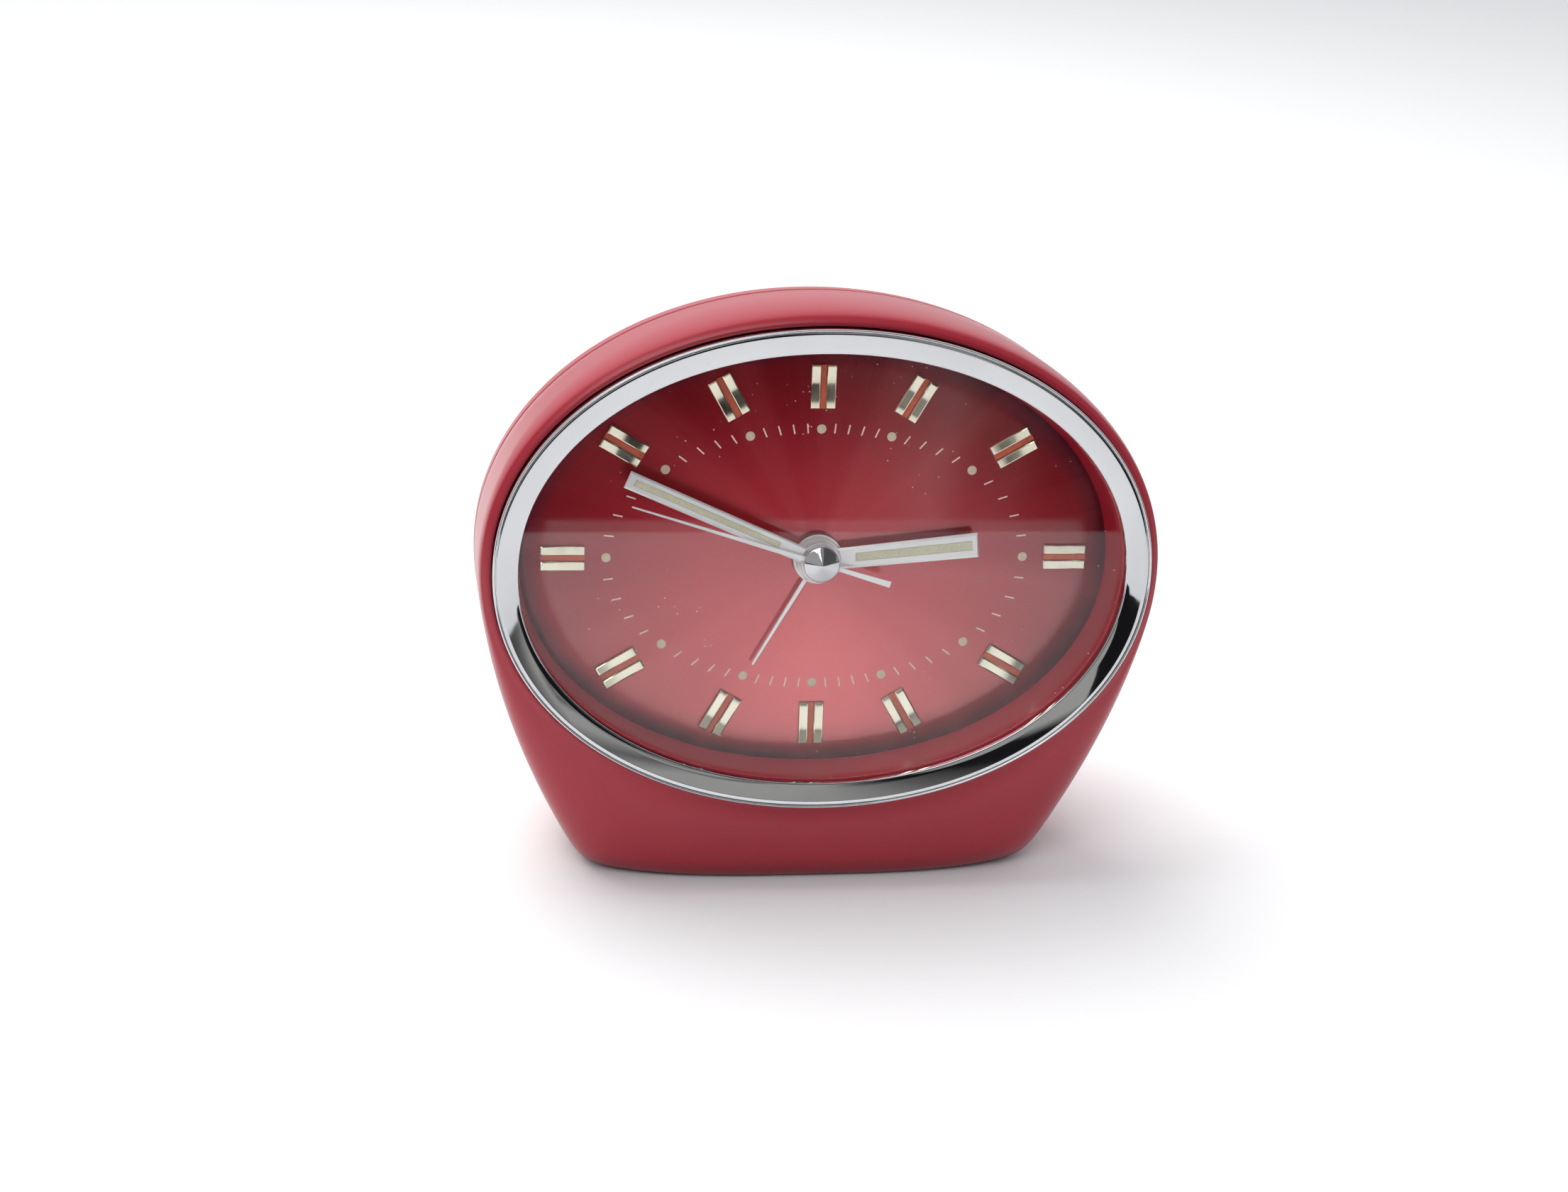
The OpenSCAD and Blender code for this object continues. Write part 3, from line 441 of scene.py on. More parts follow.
def dial_material():
    """Red sunburst lacquer: fine rays from the centre, painted highlights low down and up to the right, and a
    dull rim band darkened with painted shade.
    """
    mat = bpy.data.materials.new("dial lacquer")
    nt, b, _ = nodes_of(mat)
    v = dial_coords(nt)
    sep = node(nt, "ShaderNodeSeparateXYZ")
    nt.links.new(v, sep.inputs[0])
    x, y = sep.outputs[0], sep.outputs[1]
    ang = maths(nt, "ARCTAN2", y, x)
    com = node(nt, "ShaderNodeCombineXYZ")
    nt.links.new(maths(nt, "COSINE", ang), com.inputs[0])
    nt.links.new(maths(nt, "SINE", ang), com.inputs[1])
    rays = noise(nt, com.outputs[0], 60.0, 5, 0.65)
    broad = noise(nt, com.outputs[0], 3.2, 2, 0.5)
    rad = maths(nt, "SQRT", maths(nt, "ADD", maths(nt, "POWER", maths(nt, "DIVIDE", x, 51.5), 2.0),
                                  maths(nt, "POWER", maths(nt, "DIVIDE", y, 36.6), 2.0)))
    # towards the rim (from 0.93 out) the colour darkens: painted shade where the dial meets its surround
    col = ramp(nt, rad, [(0.0, (0.58, 0.045, 0.06)), (0.4, (0.50, 0.028, 0.042)), (0.7, (0.34, 0.010, 0.020)),
                         (0.85, (0.28, 0.006, 0.014)), (0.93, (0.25, 0.006, 0.014)),
                         (0.965, (0.17, 0.008, 0.02)), (1.0, (0.12, 0.008, 0.024))])
    col = mix(nt, level(nt, rays, 0.0, 0.05, 0.35, 0.65), col, (0.62, 0.09, 0.10))
    col = mix(nt, level(nt, broad, 0.0, 0.22, 0.45, 0.7), col, (0.62, 0.11, 0.11))
    # painted highlights: fans of paler colour, straight down and up to the right, standing in for the
    # sunburst's sheen
    painted_highlights = ((-86.0, 28.0, 0.30, 0.80), (-88.0, 58.0, 0.42, 0.88), (48.0, 24.0, 0.14, 0.5))
    for turn_to, width, strength, far in painted_highlights:
        a = math.radians(turn_to)
        along = maths(nt, "ADD", maths(nt, "MULTIPLY", maths(nt, "COSINE", ang), math.cos(a)),
                      maths(nt, "MULTIPLY", maths(nt, "SINE", ang), math.sin(a)))
        highlight_mask = level(nt, along, 0.0, 1.0, math.cos(math.radians(width * 1.6)), 1.0)
        highlight_mask = maths(nt, "POWER", maths(nt, "MAXIMUM", highlight_mask, 0.0), 1.4)
        ring_ = maths(nt, "MULTIPLY", level(nt, rad, 0.25, 1.0, 0.0, far * 0.6),
                      level(nt, rad, 1.0, 0.0, far, 1.0))
        col = mix(nt, maths(nt, "MULTIPLY", maths(nt, "MULTIPLY", highlight_mask, ring_), strength), col,
                  (0.94, 0.17, 0.17))
    nt.links.new(col, b.inputs["Base Color"])
    b.inputs["Metallic"].default_value = 0.85
    nt.links.new(level(nt, broad, 0.28, 0.31, 0.35, 0.65), b.inputs["Roughness"])
    nt.links.new(level(nt, rad, 1.0, 0.12, 0.915, 0.945), b.inputs["Coat Weight"])
    b.inputs["Coat IOR"].default_value = 1.6
    b.inputs["Coat Roughness"].default_value = 0.03
    return mat


def lens_material():
    """Thin clear plastic: see-through, with a plain mirror reflection and a little dust."""
    mat = bpy.data.materials.new("lens")
    nt, b, out = nodes_of(mat)
    nt.nodes.remove(b)
    clear = node(nt, "ShaderNodeBsdfTransparent")
    clear.inputs[0].default_value = (0.97, 0.975, 0.98, 1)
    shine = node(nt, "ShaderNodeBsdfPrincipled")
    shine.inputs["Base Color"].default_value = (1, 1, 1, 1)
    shine.inputs["Metallic"].default_value = 1.0
    shine.inputs["Roughness"].default_value = 0.01
    facing = node(nt, "ShaderNodeLayerWeight", Blend=0.5)
    fres = maths(nt, "ADD", maths(nt, "MULTIPLY", maths(nt, "POWER", facing.outputs["Facing"], 5.0), 0.95),
                 0.027)
    dust = node(nt, "ShaderNodeTexVoronoi", Scale=0.5)
    v = coords(nt)
    nt.links.new(v, dust.inputs["Vector"])
    speck = level(nt, dust.outputs["Distance"], 1.0, 0.0, 0.04, 0.08)
    patchy = level(nt, noise(nt, v, 0.07, 2), 0.0, 0.75, 0.52, 0.62)
    powder = node(nt, "ShaderNodeBsdfPrincipled")
    powder.inputs["Base Color"].default_value = (0.7, 0.6, 0.55, 1)
    powder.inputs["Roughness"].default_value = 0.9
    m1 = node(nt, "ShaderNodeMixShader")
    nt.links.new(fres, m1.inputs[0])
    nt.links.new(clear.outputs[0], m1.inputs[1])
    nt.links.new(shine.outputs[0], m1.inputs[2])
    m2 = node(nt, "ShaderNodeMixShader")
    nt.links.new(maths(nt, "MULTIPLY", speck, patchy), m2.inputs[0])
    nt.links.new(m1.outputs[0], m2.inputs[1])
    nt.links.new(powder.outputs[0], m2.inputs[2])
    nt.links.new(m2.outputs[0], out.inputs[0])
    return mat


DIAL_MAT = dial_material()
LENS_MAT = lens_material()


def finish_piece(ob, mat, body, slot_name, *nodes):
    set_mat(ob, mat)
    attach(ob, body)
    if nodes:
        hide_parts(*nodes)
    return ob


# ---------------------------------------------------------------- case
front = rings_mesh("case_front", [
    oval_ring(BEZEL_W + 0.2, 10.15), oval_ring(BEZEL_W + 0.35, 10.27), oval_ring(BEZEL_W + 0.7, 10.3),
    oval_ring(BEZEL_W + 1.1, 10.15),
    *[roll_ring(p) for p in (0, 9, 18, 27, 36, 45, 54, 63, 72, 81, 90)],
    *[side_ring(f) for f in (0.15, 0.4, 0.7)], wall_ring(SEAM_Z + 0.55), wall_ring(SEAM_Z + 0.42, 0.03),
    wall_ring(SEAM_Z + 0.3, 0.16), wall_ring(SEAM_Z, 0.5),
    side_ring(1, True), side_ring(0.4, True),
    roll_ring(90, True), roll_ring(60, True), roll_ring(30, True), roll_ring(0, True),
    oval_ring(2.7, SEAT_Z), oval_ring(BEZEL_W + 0.2, SEAT_Z)], degrees=40)
finish_piece(front, RED, "clock", "red_case", "front_case")


def rear_case():
    rim = BACK_INSET + 1.5
    zs = [SEAM_Z - d for d in (0.1, 0.36, 0.48, 0.62, 1.2, 2.2)]
    zs += [TAPER_Z - d for d in (0, 0.7, 1.5, 2.5, 4, 6, 8, 10, 12.5, 15, 17.5, 20, 22.5, 25, 27.5, 29)]
    rings = [wall_ring(z, (0.5, 0.16, 0.03)[i] if i < 3 else back_off(z)) for i, z in enumerate(zs)]
    edge = []
    z1 = BACK_Z + 1.5
    for k in range(1, 9):
        a = math.radians(90 * k / 8)
        z = z1 - 1.5 * math.sin(a)
        off = back_off(z1) + (rim - back_off(z1)) * (1 - math.cos(a))
        edge.append(wall_ring(z, off, 1.5 * (1 - math.cos(a))))
    inner_z = [PANEL_IN, TAPER_Z - 22, TAPER_Z - 15, TAPER_Z - 8, TAPER_Z, SEAM_Z - 0.1]
    inner = [wall_ring(z, back_off(z) + WALL + 0.2, WALL) for z in inner_z]
    n = len(TURN)
    shell = rings + edge
    rings_all = shell + inner
    verts = [p for r in rings_all for p in r]
    faces = []
    m = len(rings_all)
    for j in range(m):
        if j == len(shell) - 1:
            continue
        for i in range(n):
            a, b = j * n + i, j * n + (i + 1) % n
            c, d = ((j + 1) % m) * n + (i + 1) % n, ((j + 1) % m) * n + i
            faces.append((a, b, c, d))
    faces.append(tuple((len(shell) - 1) * n + i for i in range(n)))
    faces.append(tuple(len(shell) * n + i for i in reversed(range(n))))
    return hard_edges(new_object("case_rear", verts, faces), 40)


rear = rear_case()


def polar(r, a):
    return (r * math.cos(math.radians(a)), r * math.sin(math.radians(a)))


def plus(p, q):
    return (p[0] + q[0], p[1] + q[1])


TIME_P = polar(0.55 * 41, 225)
RING_P = (18.0, -14.0)
ESCAPE_DIST = 0.33 * 36
PALLET_P = polar(ESCAPE_DIST + 6.2, 155)
BALANCE_P = plus(PALLET_P, polar(10, 155))
MINUTE_P = polar(9.6, -10)
TIME_SET_P = plus(MINUTE_P, polar(9.6, 15))
ALARM_SET_P = polar(12, 120)
STOP_P = (28.5, 0.5)
POSTS = [(0, -27), (-34, -3), (34.5, -7.5)]


def cutter(p, r, z0, z1, chamfer=0.0):
    prof = [(r, z0), (r, z1)]
    if chamfer:
        prof = [(r + chamfer + 1, z0), (r + chamfer, BACK_Z), (r, BACK_Z + chamfer), (r, z1)]
    return lathe("cut", prof, p, 64)


def cut(ob, cutters):
    bpy.context.view_layer.update()
    tool = join("cutters", cutters)
    mod = ob.modifiers.new("cut", "BOOLEAN")
    mod.operation, mod.object, mod.solver = "DIFFERENCE", tool, "EXACT"
    dg = bpy.context.evaluated_depsgraph_get()
    me = bpy.data.meshes.new_from_object(ob.evaluated_get(dg))
    ob.modifiers.clear()
    old = ob.data
    ob.data = me
    bpy.data.meshes.remove(old)
    old = tool.data
    bpy.data.objects.remove(tool)
    bpy.data.meshes.remove(old)
    for p in ob.data.polygons:
        p.use_smooth = p.normal.dot(DIAL.to_3x3() @ Vector((0, 0, 1))) > -0.9999
    return hard_edges(ob, 40)


def slot_cutter():
    a0, a1 = -58 - 28, -58 + 28
    outer = [plus(BALANCE_P, polar(11.3, a)) for a in np.linspace(a0, a1, 30)]
    inner = [plus(BALANCE_P, polar(8.7, a)) for a in np.linspace(a1, a0, 30)]
    return slab("cut", outer + inner, BACK_Z - 1, PANEL_IN + 1)


rear = cut(rear, [cutter(TIME_P, 3.4, BACK_Z - 1, PANEL_IN + 1, 0.3),
                  cutter(RING_P, 3.4, BACK_Z - 1, PANEL_IN + 1, 0.3),
                  cutter(TIME_SET_P, 2.2, BACK_Z - 1, PANEL_IN + 1, 0.2),
                  cutter(ALARM_SET_P, 2.2, BACK_Z - 1, PANEL_IN + 1, 0.2),
                  cutter(STOP_P, 1.4, BACK_Z - 1, PANEL_IN + 1, 0.2), slot_cutter(),
                  *[cutter(p, 1.4, BACK_Z - 1, PANEL_IN + 1) for p in POSTS],
                  *[cutter(p, 3.2, BACK_Z - 1, BACK_Z + 1.1) for p in POSTS]])
finish_piece(rear, RED, "clock", "red_case", "rear_case")


# ---------------------------------------------------------------- bezel and lens
def profile_rings(profile):
    """profile: (distance outside the dial opening, z) pairs."""
    return [oval_ring(off, z) for off, z in profile]


BEZEL = [(0.17, 10.5), (0.15, 11.4), (0.18, 11.5), (0.26, 11.585), (0.34, 11.61), (0.42, 11.60),
         (0.5, 11.625),
         (1.2, 11.72), (1.9, 11.812), (2.6, 11.90), (3.3, 11.985), (3.76, 12.04), (3.84, 12.03), (3.88, 11.9),
         (3.97, 11.9), (4.0, 12.1), (4.05, 12.24), (4.13, 12.34), (4.24, 12.385), (4.35, 12.35),
         (4.43, 12.25),
         (4.48, 12.1), (4.5, 11.9), (4.5, 8.3), (1.4, 8.3), (1.4, 10.5)]
bezel = rings_mesh("bezel_ring", profile_rings(BEZEL), degrees=50)
finish_piece(bezel, CHROME, "clock", "bezel_chrome", "bezel")

LENS = [(1.1, 9.0), (1.2, 9.1), (1.2, 10.3), (1.1, 10.4)]
lens = rings_mesh("lens_pane", profile_rings(LENS), closed=False, caps=True, degrees=20)
finish_piece(lens, LENS_MAT, "clock", "lens_clear", "lens")

# ---------------------------------------------------------------- dial ring and dial
RING = [(-0.5, 0.02), (-0.48, 0.2), (-0.44, 0.4), (-0.36, 1.6), (-0.24, 3.6), (-0.1, 5.8), (0.02, 7.6),
        (0.06, 8.4),
        (0.1, 8.78), (0.22, 8.9), (1.2, 8.9), (1.2, 8.1), (2.4, 8.1), (2.4, -6.0), (0.1, -6.0), (0.1, 0.0)]
ring = rings_mesh("dial_surround", profile_rings(RING), degrees=50)
finish_piece(ring, RING_RED, "clock", "red_ring", "dial_ring")


def dial_plate():
    """The flat dial, with its edges eased at the hole and the rim."""
    rings = [oval_ring(0.0, -0.6), oval_ring(0.0, -0.06), oval_ring(-0.05, -0.02)]
    for f in (0.97, 0.94, 0.9, 0.8, 0.65, 0.5, 0.35, 0.22, 0.13):
        rings.append([(x * f, y * f, -0.02) for x, y, _ in oval_ring(-0.05, 0)])
    rings.append([pol(t, 2.95, -0.02) for t in TURN])
    rings.append([pol(t, 2.9, -0.07) for t in TURN])
    rings.append([pol(t, 2.9, -0.6) for t in TURN])
    return rings_mesh("dial_face", rings, closed=True, degrees=40)


dial = dial_plate()
feet = [lathe("foot", [(0.72, -6.0), (0.8, -5.9), (0.8, -0.55)], p, 24) for p in [(-36, 12), (36, 12),
                                                                                  (0, -30)]]
dial = join("dial_face", [dial] + feet)
finish_piece(dial, DIAL_MAT, "clock", "dial_lacquer", "dial_plate")


# ---------------------------------------------------------------- dial furniture
def turned(points, degrees_cw, shift):
    """Outline points moved up by shift and turned clockwise about the dial's centre."""
    a = math.radians(-degrees_cw)
    c, s = math.cos(a), math.sin(a)
    return [(x * c - (y + shift) * s, x * s + (y + shift) * c) for x, y in points]


def bar(width, length, at, r, side):
    """A polished marker bar: flat across with bevelled sides; its outer third tips up towards the rim."""
    half = length / 2
    prof = [(-0.5, 0.0), (-0.5, 0.7), (-0.43, 0.93), (-0.36, 1.0), (0.36, 1.0), (0.43, 0.93), (0.5, 0.7),
            (0.5, 0.0)]
    a = math.radians(-at)
    c, s = math.cos(a), math.sin(a)
    rings = []
    for f, h in ((0.0, 0.36), (0.018, 0.52), (0.05, 0.56), (0.25, 0.555), (0.45, 0.56), (0.55, 0.575),
                 (0.62, 0.60),
                 (0.7, 0.65), (0.8, 0.73), (0.9, 0.82), (0.955, 0.87), (0.985, 0.85), (1.0, 0.7)):
        y = -half + length * f + r
        rings.append([((side + px * width) * c - y * s, (side + px * width) * s + y * c, pz * h) for px,
                      pz in prof])
    return rings_mesh("bar", rings, closed=False, caps=True, degrees=10)


bars, stripes, dots, ticks = [], [], [], []
for k in range(12):
    at = 30 * k
    r = oval_r(at, MARK_A, MARK_B)
    for s in (-1, 1):
        bars.append(bar(1.72, 7.75, at, r, s * 1.37))
    stripe = turned([(-0.49, -3.85), (0.49, -3.85), (0.49, 3.85), (-0.49, 3.85)], at, r)
    stripes.append(slab("stripe", stripe, 0.0, 0.35, 0.0, 0.06))
    rt = oval_r(at, TRACK_A, TRACK_B, 2)
    c = (rt * math.sin(math.radians(at)), rt * math.cos(math.radians(at)))
    dots.append(lathe("dot", [(0.82, 0.0), (0.82, 0.05), (0.74, 0.11), (0.5, 0.14), (0.01, 0.15)], c, 32))
for k in range(60):
    if k % 5:
        at = 6 * k
        rt = oval_r(at, TRACK_A, TRACK_B, 2)
        line = turned([(-0.12, -0.74), (0.12, -0.74), (0.12, 0.95), (-0.12, 0.95)], at, rt)
        ticks.append(slab("tick", line, 0.0, 0.05))
finish_piece(join("hour_bars", bars), MARKER, "clock", "marker_metal", "hour_markers")
finish_piece(join("bar_stripes", stripes), STRIPE, "clock", "stripe_paint", "marker_stripes")
finish_piece(join("dial_dots", dots), CREAM, "clock", "cream_print", "minute_dots")
finish_piece(join("dial_ticks", ticks), LINE, "clock", "cream_print", "minute_ticks")


# ---------------------------------------------------------------- hands
def blade(name, at, r0, r1, w0, w1, z0, z1, chamfer):
    """A bar hand: flat sides, a chamfer all round its top."""
    return slab(name, turned([(-w0 / 2, r0), (w0 / 2, r0), (w1 / 2, r1), (-w1 / 2, r1)], at, 0), z0, z1, 0.02,
                chamfer)


def framed_blade(name, at, r0, r1, w0, w1, z0, z1, slot0, slot1, s_w0, s_w1):
    """A hand whose polished frame slopes up on both sides of a sunken strip."""
    def out(w_a, w_b, a, b):
        return [(-w_a / 2, a), (w_a / 2, a), (w_b / 2, b), (-w_b / 2, b)]
    levels = [(out(w0, w1, r0, r1), z0), (out(w0, w1, r0, r1), z1 - 0.16),
              (out(w0 * 0.80, w1 * 0.80, r0 + 0.2, r1 - 0.25), z1),
              (out(s_w0 + 0.12, s_w1 + 0.12, slot0 - 0.1, slot1 + 0.1), z1),
              (out(s_w0, s_w1, slot0, slot1), z1 - 0.08)]
    rings = []
    for pts, z in levels:
        # extra points along the long edges keep the faces even
        dense = []
        for i in range(4):
            p, q = pts[i], pts[(i + 1) % 4]
            n = 8 if i in (1, 3) else 1
            for j in range(n):
                f = j / n
                dense.append((p[0] + (q[0] - p[0]) * f, p[1] + (q[1] - p[1]) * f))
        rings.append([(x, y, z) for x, y in turned(dense, at, 0)])
    return rings_mesh(name, rings, closed=False, caps=True, degrees=12)


def washer(r_in, r_out, z0, z1, edge=0.06, steps=72):
    prof = [(r_in, z0), (r_out - edge, z0), (r_out, z0 + edge), (r_out, z1 - edge), (r_out - edge, z1),
            (r_in, z1)]
    rings = []
    for r, z in prof:
        rings.append([(r * math.cos(2 * math.pi * i / steps), r * math.sin(2 * math.pi * i / steps), z)
                      for i in range(steps)])
    return rings_mesh("washer", rings, closed=True, degrees=30)


minute = join("minute_pointer", [framed_blade("m", MINUTE_AT, 2.6, 36.9, 2.8, 3.15, 3.9, 4.25, 8.0, 35.4,
                                              0.95, 1.05),
                                 washer(1.61, 3.5, 3.9, 4.25)])
finish_piece(minute, SILVER, "minute_hand", "hand_metal", "minute_hand")
m_lume = slab("minute_glow", turned([(-0.475, 8), (0.475, 8), (0.525, 35.4), (-0.525, 35.4)], MINUTE_AT, 0),
              4.17, 4.31, 0.0, 0.03)
finish_piece(m_lume, LUME, "minute_hand", "luminous", "minute_lume")
hour = join("hour_pointer", [framed_blade("h", HOUR_AT, 3.0, 28.3, 3.7, 4.4, 2.4, 2.75, 6.5, 27.2, 1.4, 1.6),
                             washer(2.11, 3.9, 2.4, 2.75)])
finish_piece(hour, SILVER, "hour_hand", "hand_metal", "hour_hand")
h_lume = slab("hour_glow", turned([(-0.7, 6.5), (0.7, 6.5), (0.8, 27.2), (-0.8, 27.2)], HOUR_AT, 0),
              2.67, 2.81, 0.0, 0.03)
finish_piece(h_lume, LUME, "hour_hand", "luminous", "hour_lume")
second = join("second_pointer", [
    blade("s", SECOND_AT, 1.2, 34.6, 0.95, 0.30, 4.95, 5.15, 0.05),
    blade("t", SECOND_AT + 180, 1.2, 12.9, 0.66, 1.15, 4.95, 5.15, 0.06),
    washer(0.56, 1.6, 4.95, 5.15, 0.04)])
finish_piece(second, SILVER, "seconds", "hand_metal", "second_hand")
alarm = join("alarm_pointer", [blade("a", ALARM_AT, 3.8, 22, 0.8, 0.48, 1.35, 1.6, 0.08),
                               washer(2.61, 4.4, 1.35, 1.6)])
finish_piece(alarm, SILVER, "alarm_hand", "hand_metal", "alarm_hand")
cap = lathe("hub_button", [(3.0, 5.3), (3.13, 5.34), (3.15, 5.42), (3.15, 5.6), (3.1, 5.68), (2.98, 5.74),
                           (2.2, 6.03),
                           (1.4, 6.33), (0.7, 6.59), (0.35, 6.71), (0.2, 6.755), (0.06, 6.77)], (0, 0), 128,
                           degrees=50)
finish_piece(cap, CHROME, "seconds", "hand_metal", "hub_cap")


# ---------------------------------------------------------------- back: keys, knobs, screws, button
def key_piece(name, at, turn):
    hub = lathe("hub", [(1.52, -49.4), (1.52, -37.1), (2.2, -37.0), (2.4, -37.2), (2.4, -42.6), (2.55, -42.9),
                        (2.8, -43.0), (3.0, -43.2), (3.0, -55.6), (2.85, -55.88), (2.5, -56.0),
                        (0.01, -56.0)],
                (0, 0), 64, place=None, degrees=30)
    parts = [hub]
    for s in (0, 180):
        outline = []
        for k in range(0, 25):
            a = -90 + 180 * k / 24
            outline.append((7.6 + 4.2 * math.cos(math.radians(a)), 4.2 + 4.2 * math.sin(math.radians(a))))
        outline += [(2.4, 8.4), (2.4, 0.0)]
        hole = [(7.8 + 1.6 * math.cos(2 * math.pi * i / 24), 4.2 + 1.6 * math.sin(2 * math.pi * i / 24))
                for i in range(24)]
        rings = []
        # outline and hole share a ring count so that the wing closes on itself
        n = 96

        def resample(pts):
            pts = np.array(pts + [pts[0]])
            d = np.r_[0, np.cumsum(np.hypot(*np.diff(pts, axis=0).T))]
            s_ = np.linspace(0, d[-1], n, endpoint=False)
            return np.c_[np.interp(s_, d, pts[:, 0]), np.interp(s_, d, pts[:, 1])]
        o, h = resample(outline), resample(hole)
        # start both at the point furthest along +x
        o = np.roll(o, -int(np.argmax(o[:, 0] - abs(o[:, 1] - 4.2) * 0.01)), axis=0)
        h = np.roll(h, -int(np.argmax(h[:, 0] - abs(h[:, 1] - 4.2) * 0.01)), axis=0)
        mid = (7.0, 4.2)

        def toward(p, q, d):
            v = np.array(q) - p
            reach = np.linalg.norm(v, axis=1, keepdims=True)
            return p + v / np.maximum(reach, 1e-6) * d
        o2 = toward(o, mid, 0.25)
        h2 = h + (h - np.array([7.8, 4.2])) / 1.6 * 0.2
        for pts, w in ((o2, -0.8), (o, -0.6), (o, 0.6), (o2, 0.8), (h2, 0.8), (h, 0.65), (h, -0.65),
                       (h2, -0.8)):
            rings.append([(x, w, y - 56.0) for x, y in pts])
        wing = rings_mesh("wing", rings, closed=True, place=None, degrees=35)
        wing.data.transform(Matrix.Rotation(math.radians(s), 4, "Z"))
        parts.append(wing)
    key = join(name, parts)
    key.data.transform(DIAL @ Matrix.Translation((at[0], at[1], 0)) @ Matrix.Rotation(math.radians(turn), 4,
                                                                                      "Z"))
    return key


def knob_piece(name, at):
    n, teeth = 360, 36
    prof = [(0.82, -40.05, 0), (1.8, -40.0, 0), (1.9, -40.1, 0), (1.9, -42.7, 0), (3.6, -42.82, 0),
            (4.0, -42.95, 0.35), (4.12, -43.25, 1), (4.12, -46.3, 1), (4.0, -46.62, 0.35),
            (3.7, -46.78, 0), (3.2, -46.8, 0), (2.9, -46.6, 0),
            (0.01, -46.55, 0)]
    def around(r, z, g):
        """A ring at r, with teeth as deep as g says."""
        out = []
        for i in range(n):
            a = 2 * math.pi * i / n
            rr = r + g * 0.28 * (0.5 + 0.5 * math.cos(teeth * 2 * math.pi * i / n))
            out.append((rr * math.cos(a), rr * math.sin(a), z))
        return out
    rings = [around(r, z, g) for r, z, g in prof]
    inner = [[(0.82 * math.cos(2 * math.pi * i / n), 0.82 * math.sin(2 * math.pi * i / n),
               -46.1) for i in range(n)]]
    ob = rings_mesh(name, inner + rings, closed=False, caps=True, place=None, degrees=40)
    ob.data.transform(DIAL @ Matrix.Translation((at[0], at[1], 0)))
    return ob


KEY_BRASS = metal("key brass", (0.70, 0.53, 0.27), (0.56, 0.41, 0.19), (0.15, 0.265), scale=1.0, depth=0.06,
                  spots=0.35)
finish_piece(key_piece("winding_key", TIME_P, 20), KEY_BRASS, "time_winder", "key_brass", "time_key")
finish_piece(key_piece("alarm_winding_key", RING_P, -25), KEY_BRASS, "alarm_winder", "key_brass", "alarm_key")
finish_piece(knob_piece("hand_set_knob", TIME_SET_P), KEY_BRASS, "time_setting", "knob_brass",
             "time_set_knob")
finish_piece(knob_piece("alarm_knob", ALARM_SET_P), KEY_BRASS, "alarm_setting", "knob_brass",
             "alarm_set_knob")
button = lathe("stop_plunger", [(2.4, -49.5), (2.7, -49.42), (2.8, -49.2), (2.8, -46.8), (2.68, -46.56),
                                (2.4, -46.5), (1.3, -46.45), (1.3, -39.0), (2.1, -38.98),
                                (2.2, -38.9), (2.2, -37.7), (2.1, -37.6), (1.3, -37.58),
                                (1.3, -33.2), (1.1, -33.0)], STOP_P, 64)
finish_piece(button, CHROME, "stop_button", "hand_metal", "alarm_stop_button")


def case_screw(p):
    head = lathe("head", [(1.25, PANEL_IN + 6), (1.25, BACK_Z + 1.1), (2.85, BACK_Z + 1.1),
                          (2.9, BACK_Z + 1.0),
                          (2.9, BACK_Z + 0.55), (2.6, BACK_Z + 0.25), (1.8, BACK_Z + 0.12),
                          (0.01, BACK_Z + 0.1)], p, 64)
    groove = [plus(p, q) for q in ((-3.2, -0.3), (3.2, -0.3), (3.2, 0.3), (-3.2, 0.3))]
    return cut(head, [slab("c", groove, BACK_Z - 0.5, BACK_Z + 0.6)])


finish_piece(join("case_screw_set", [case_screw(p) for p in POSTS]), STEEL, "clock", "steel", "case_screws")

# ---------------------------------------------------------------- carried-over movement parts
MATS = {"brass": BRASS, "steel": STEEL, "blued": BLUED, "ruby": RUBY, "bell_metal": NICKEL,
        "hand_metal": SILVER}
slot_of = {s["node"]: s.get("material_slot") for s in frame["record"]["subparts"]}
for name, ob in NODES.items():
    if not ob.hide_render:
        m = MATS.get(slot_of.get(name), STEEL)
        if not ob.data.materials:
            ob.data.materials.append(m)
        for i in range(len(ob.data.materials)):
            ob.data.materials[i] = m

# ---------------------------------------------------------------- floor, lights, camera
bpy.ops.mesh.primitive_plane_add(size=1, location=(0, 0, 0))
floor = bpy.context.object
floor.name = "floor"
floor.scale = (8, 8, 1)
fm = bpy.data.materials.new("floor")
nt, b, _ = nodes_of(fm)
b.inputs["Base Color"].default_value = (0.86, 0.86, 0.86, 1)
b.inputs["Roughness"].default_value = 0.9
b.inputs["Specular IOR Level"].default_value = 0.0
set_mat(floor, fm)

world = bpy.data.worlds.new("world")
scene.world = world
world.use_nodes = True
wt = world.node_tree
way = node(wt, "ShaderNodeSeparateXYZ")
wt.links.new(node(wt, "ShaderNodeTexCoord").outputs["Generated"], way.inputs[0])
SKY = [(0.0, (0.30, 0.31, 0.33)), (0.25, (0.38, 0.39, 0.41)), (0.44, (0.42, 0.43, 0.45)),
       (0.56, (0.90, 0.92, 0.95)), (1.0, (0.94, 0.96, 0.99))]
sky = ramp(wt, level(wt, way.outputs[1], 0.0, 1.0, -1.0, 1.0), SKY)
wt.links.new(sky, wt.nodes["Background"].inputs[0])


def area(name, loc, target, size, power, color=(1, 1, 1)):
    li = bpy.data.lights.new(name, "AREA")
    li.shape = "RECTANGLE"
    li.size, li.size_y = size
    li.energy, li.color = power, color
    ob = bpy.data.objects.new(name, li)
    scene.collection.objects.link(ob)
    ob.location = loc
    ob.rotation_mode = "QUATERNION"
    ob.rotation_quaternion = (Vector(target) - Vector(loc)).to_track_quat("-Z", "Y")
    return ob


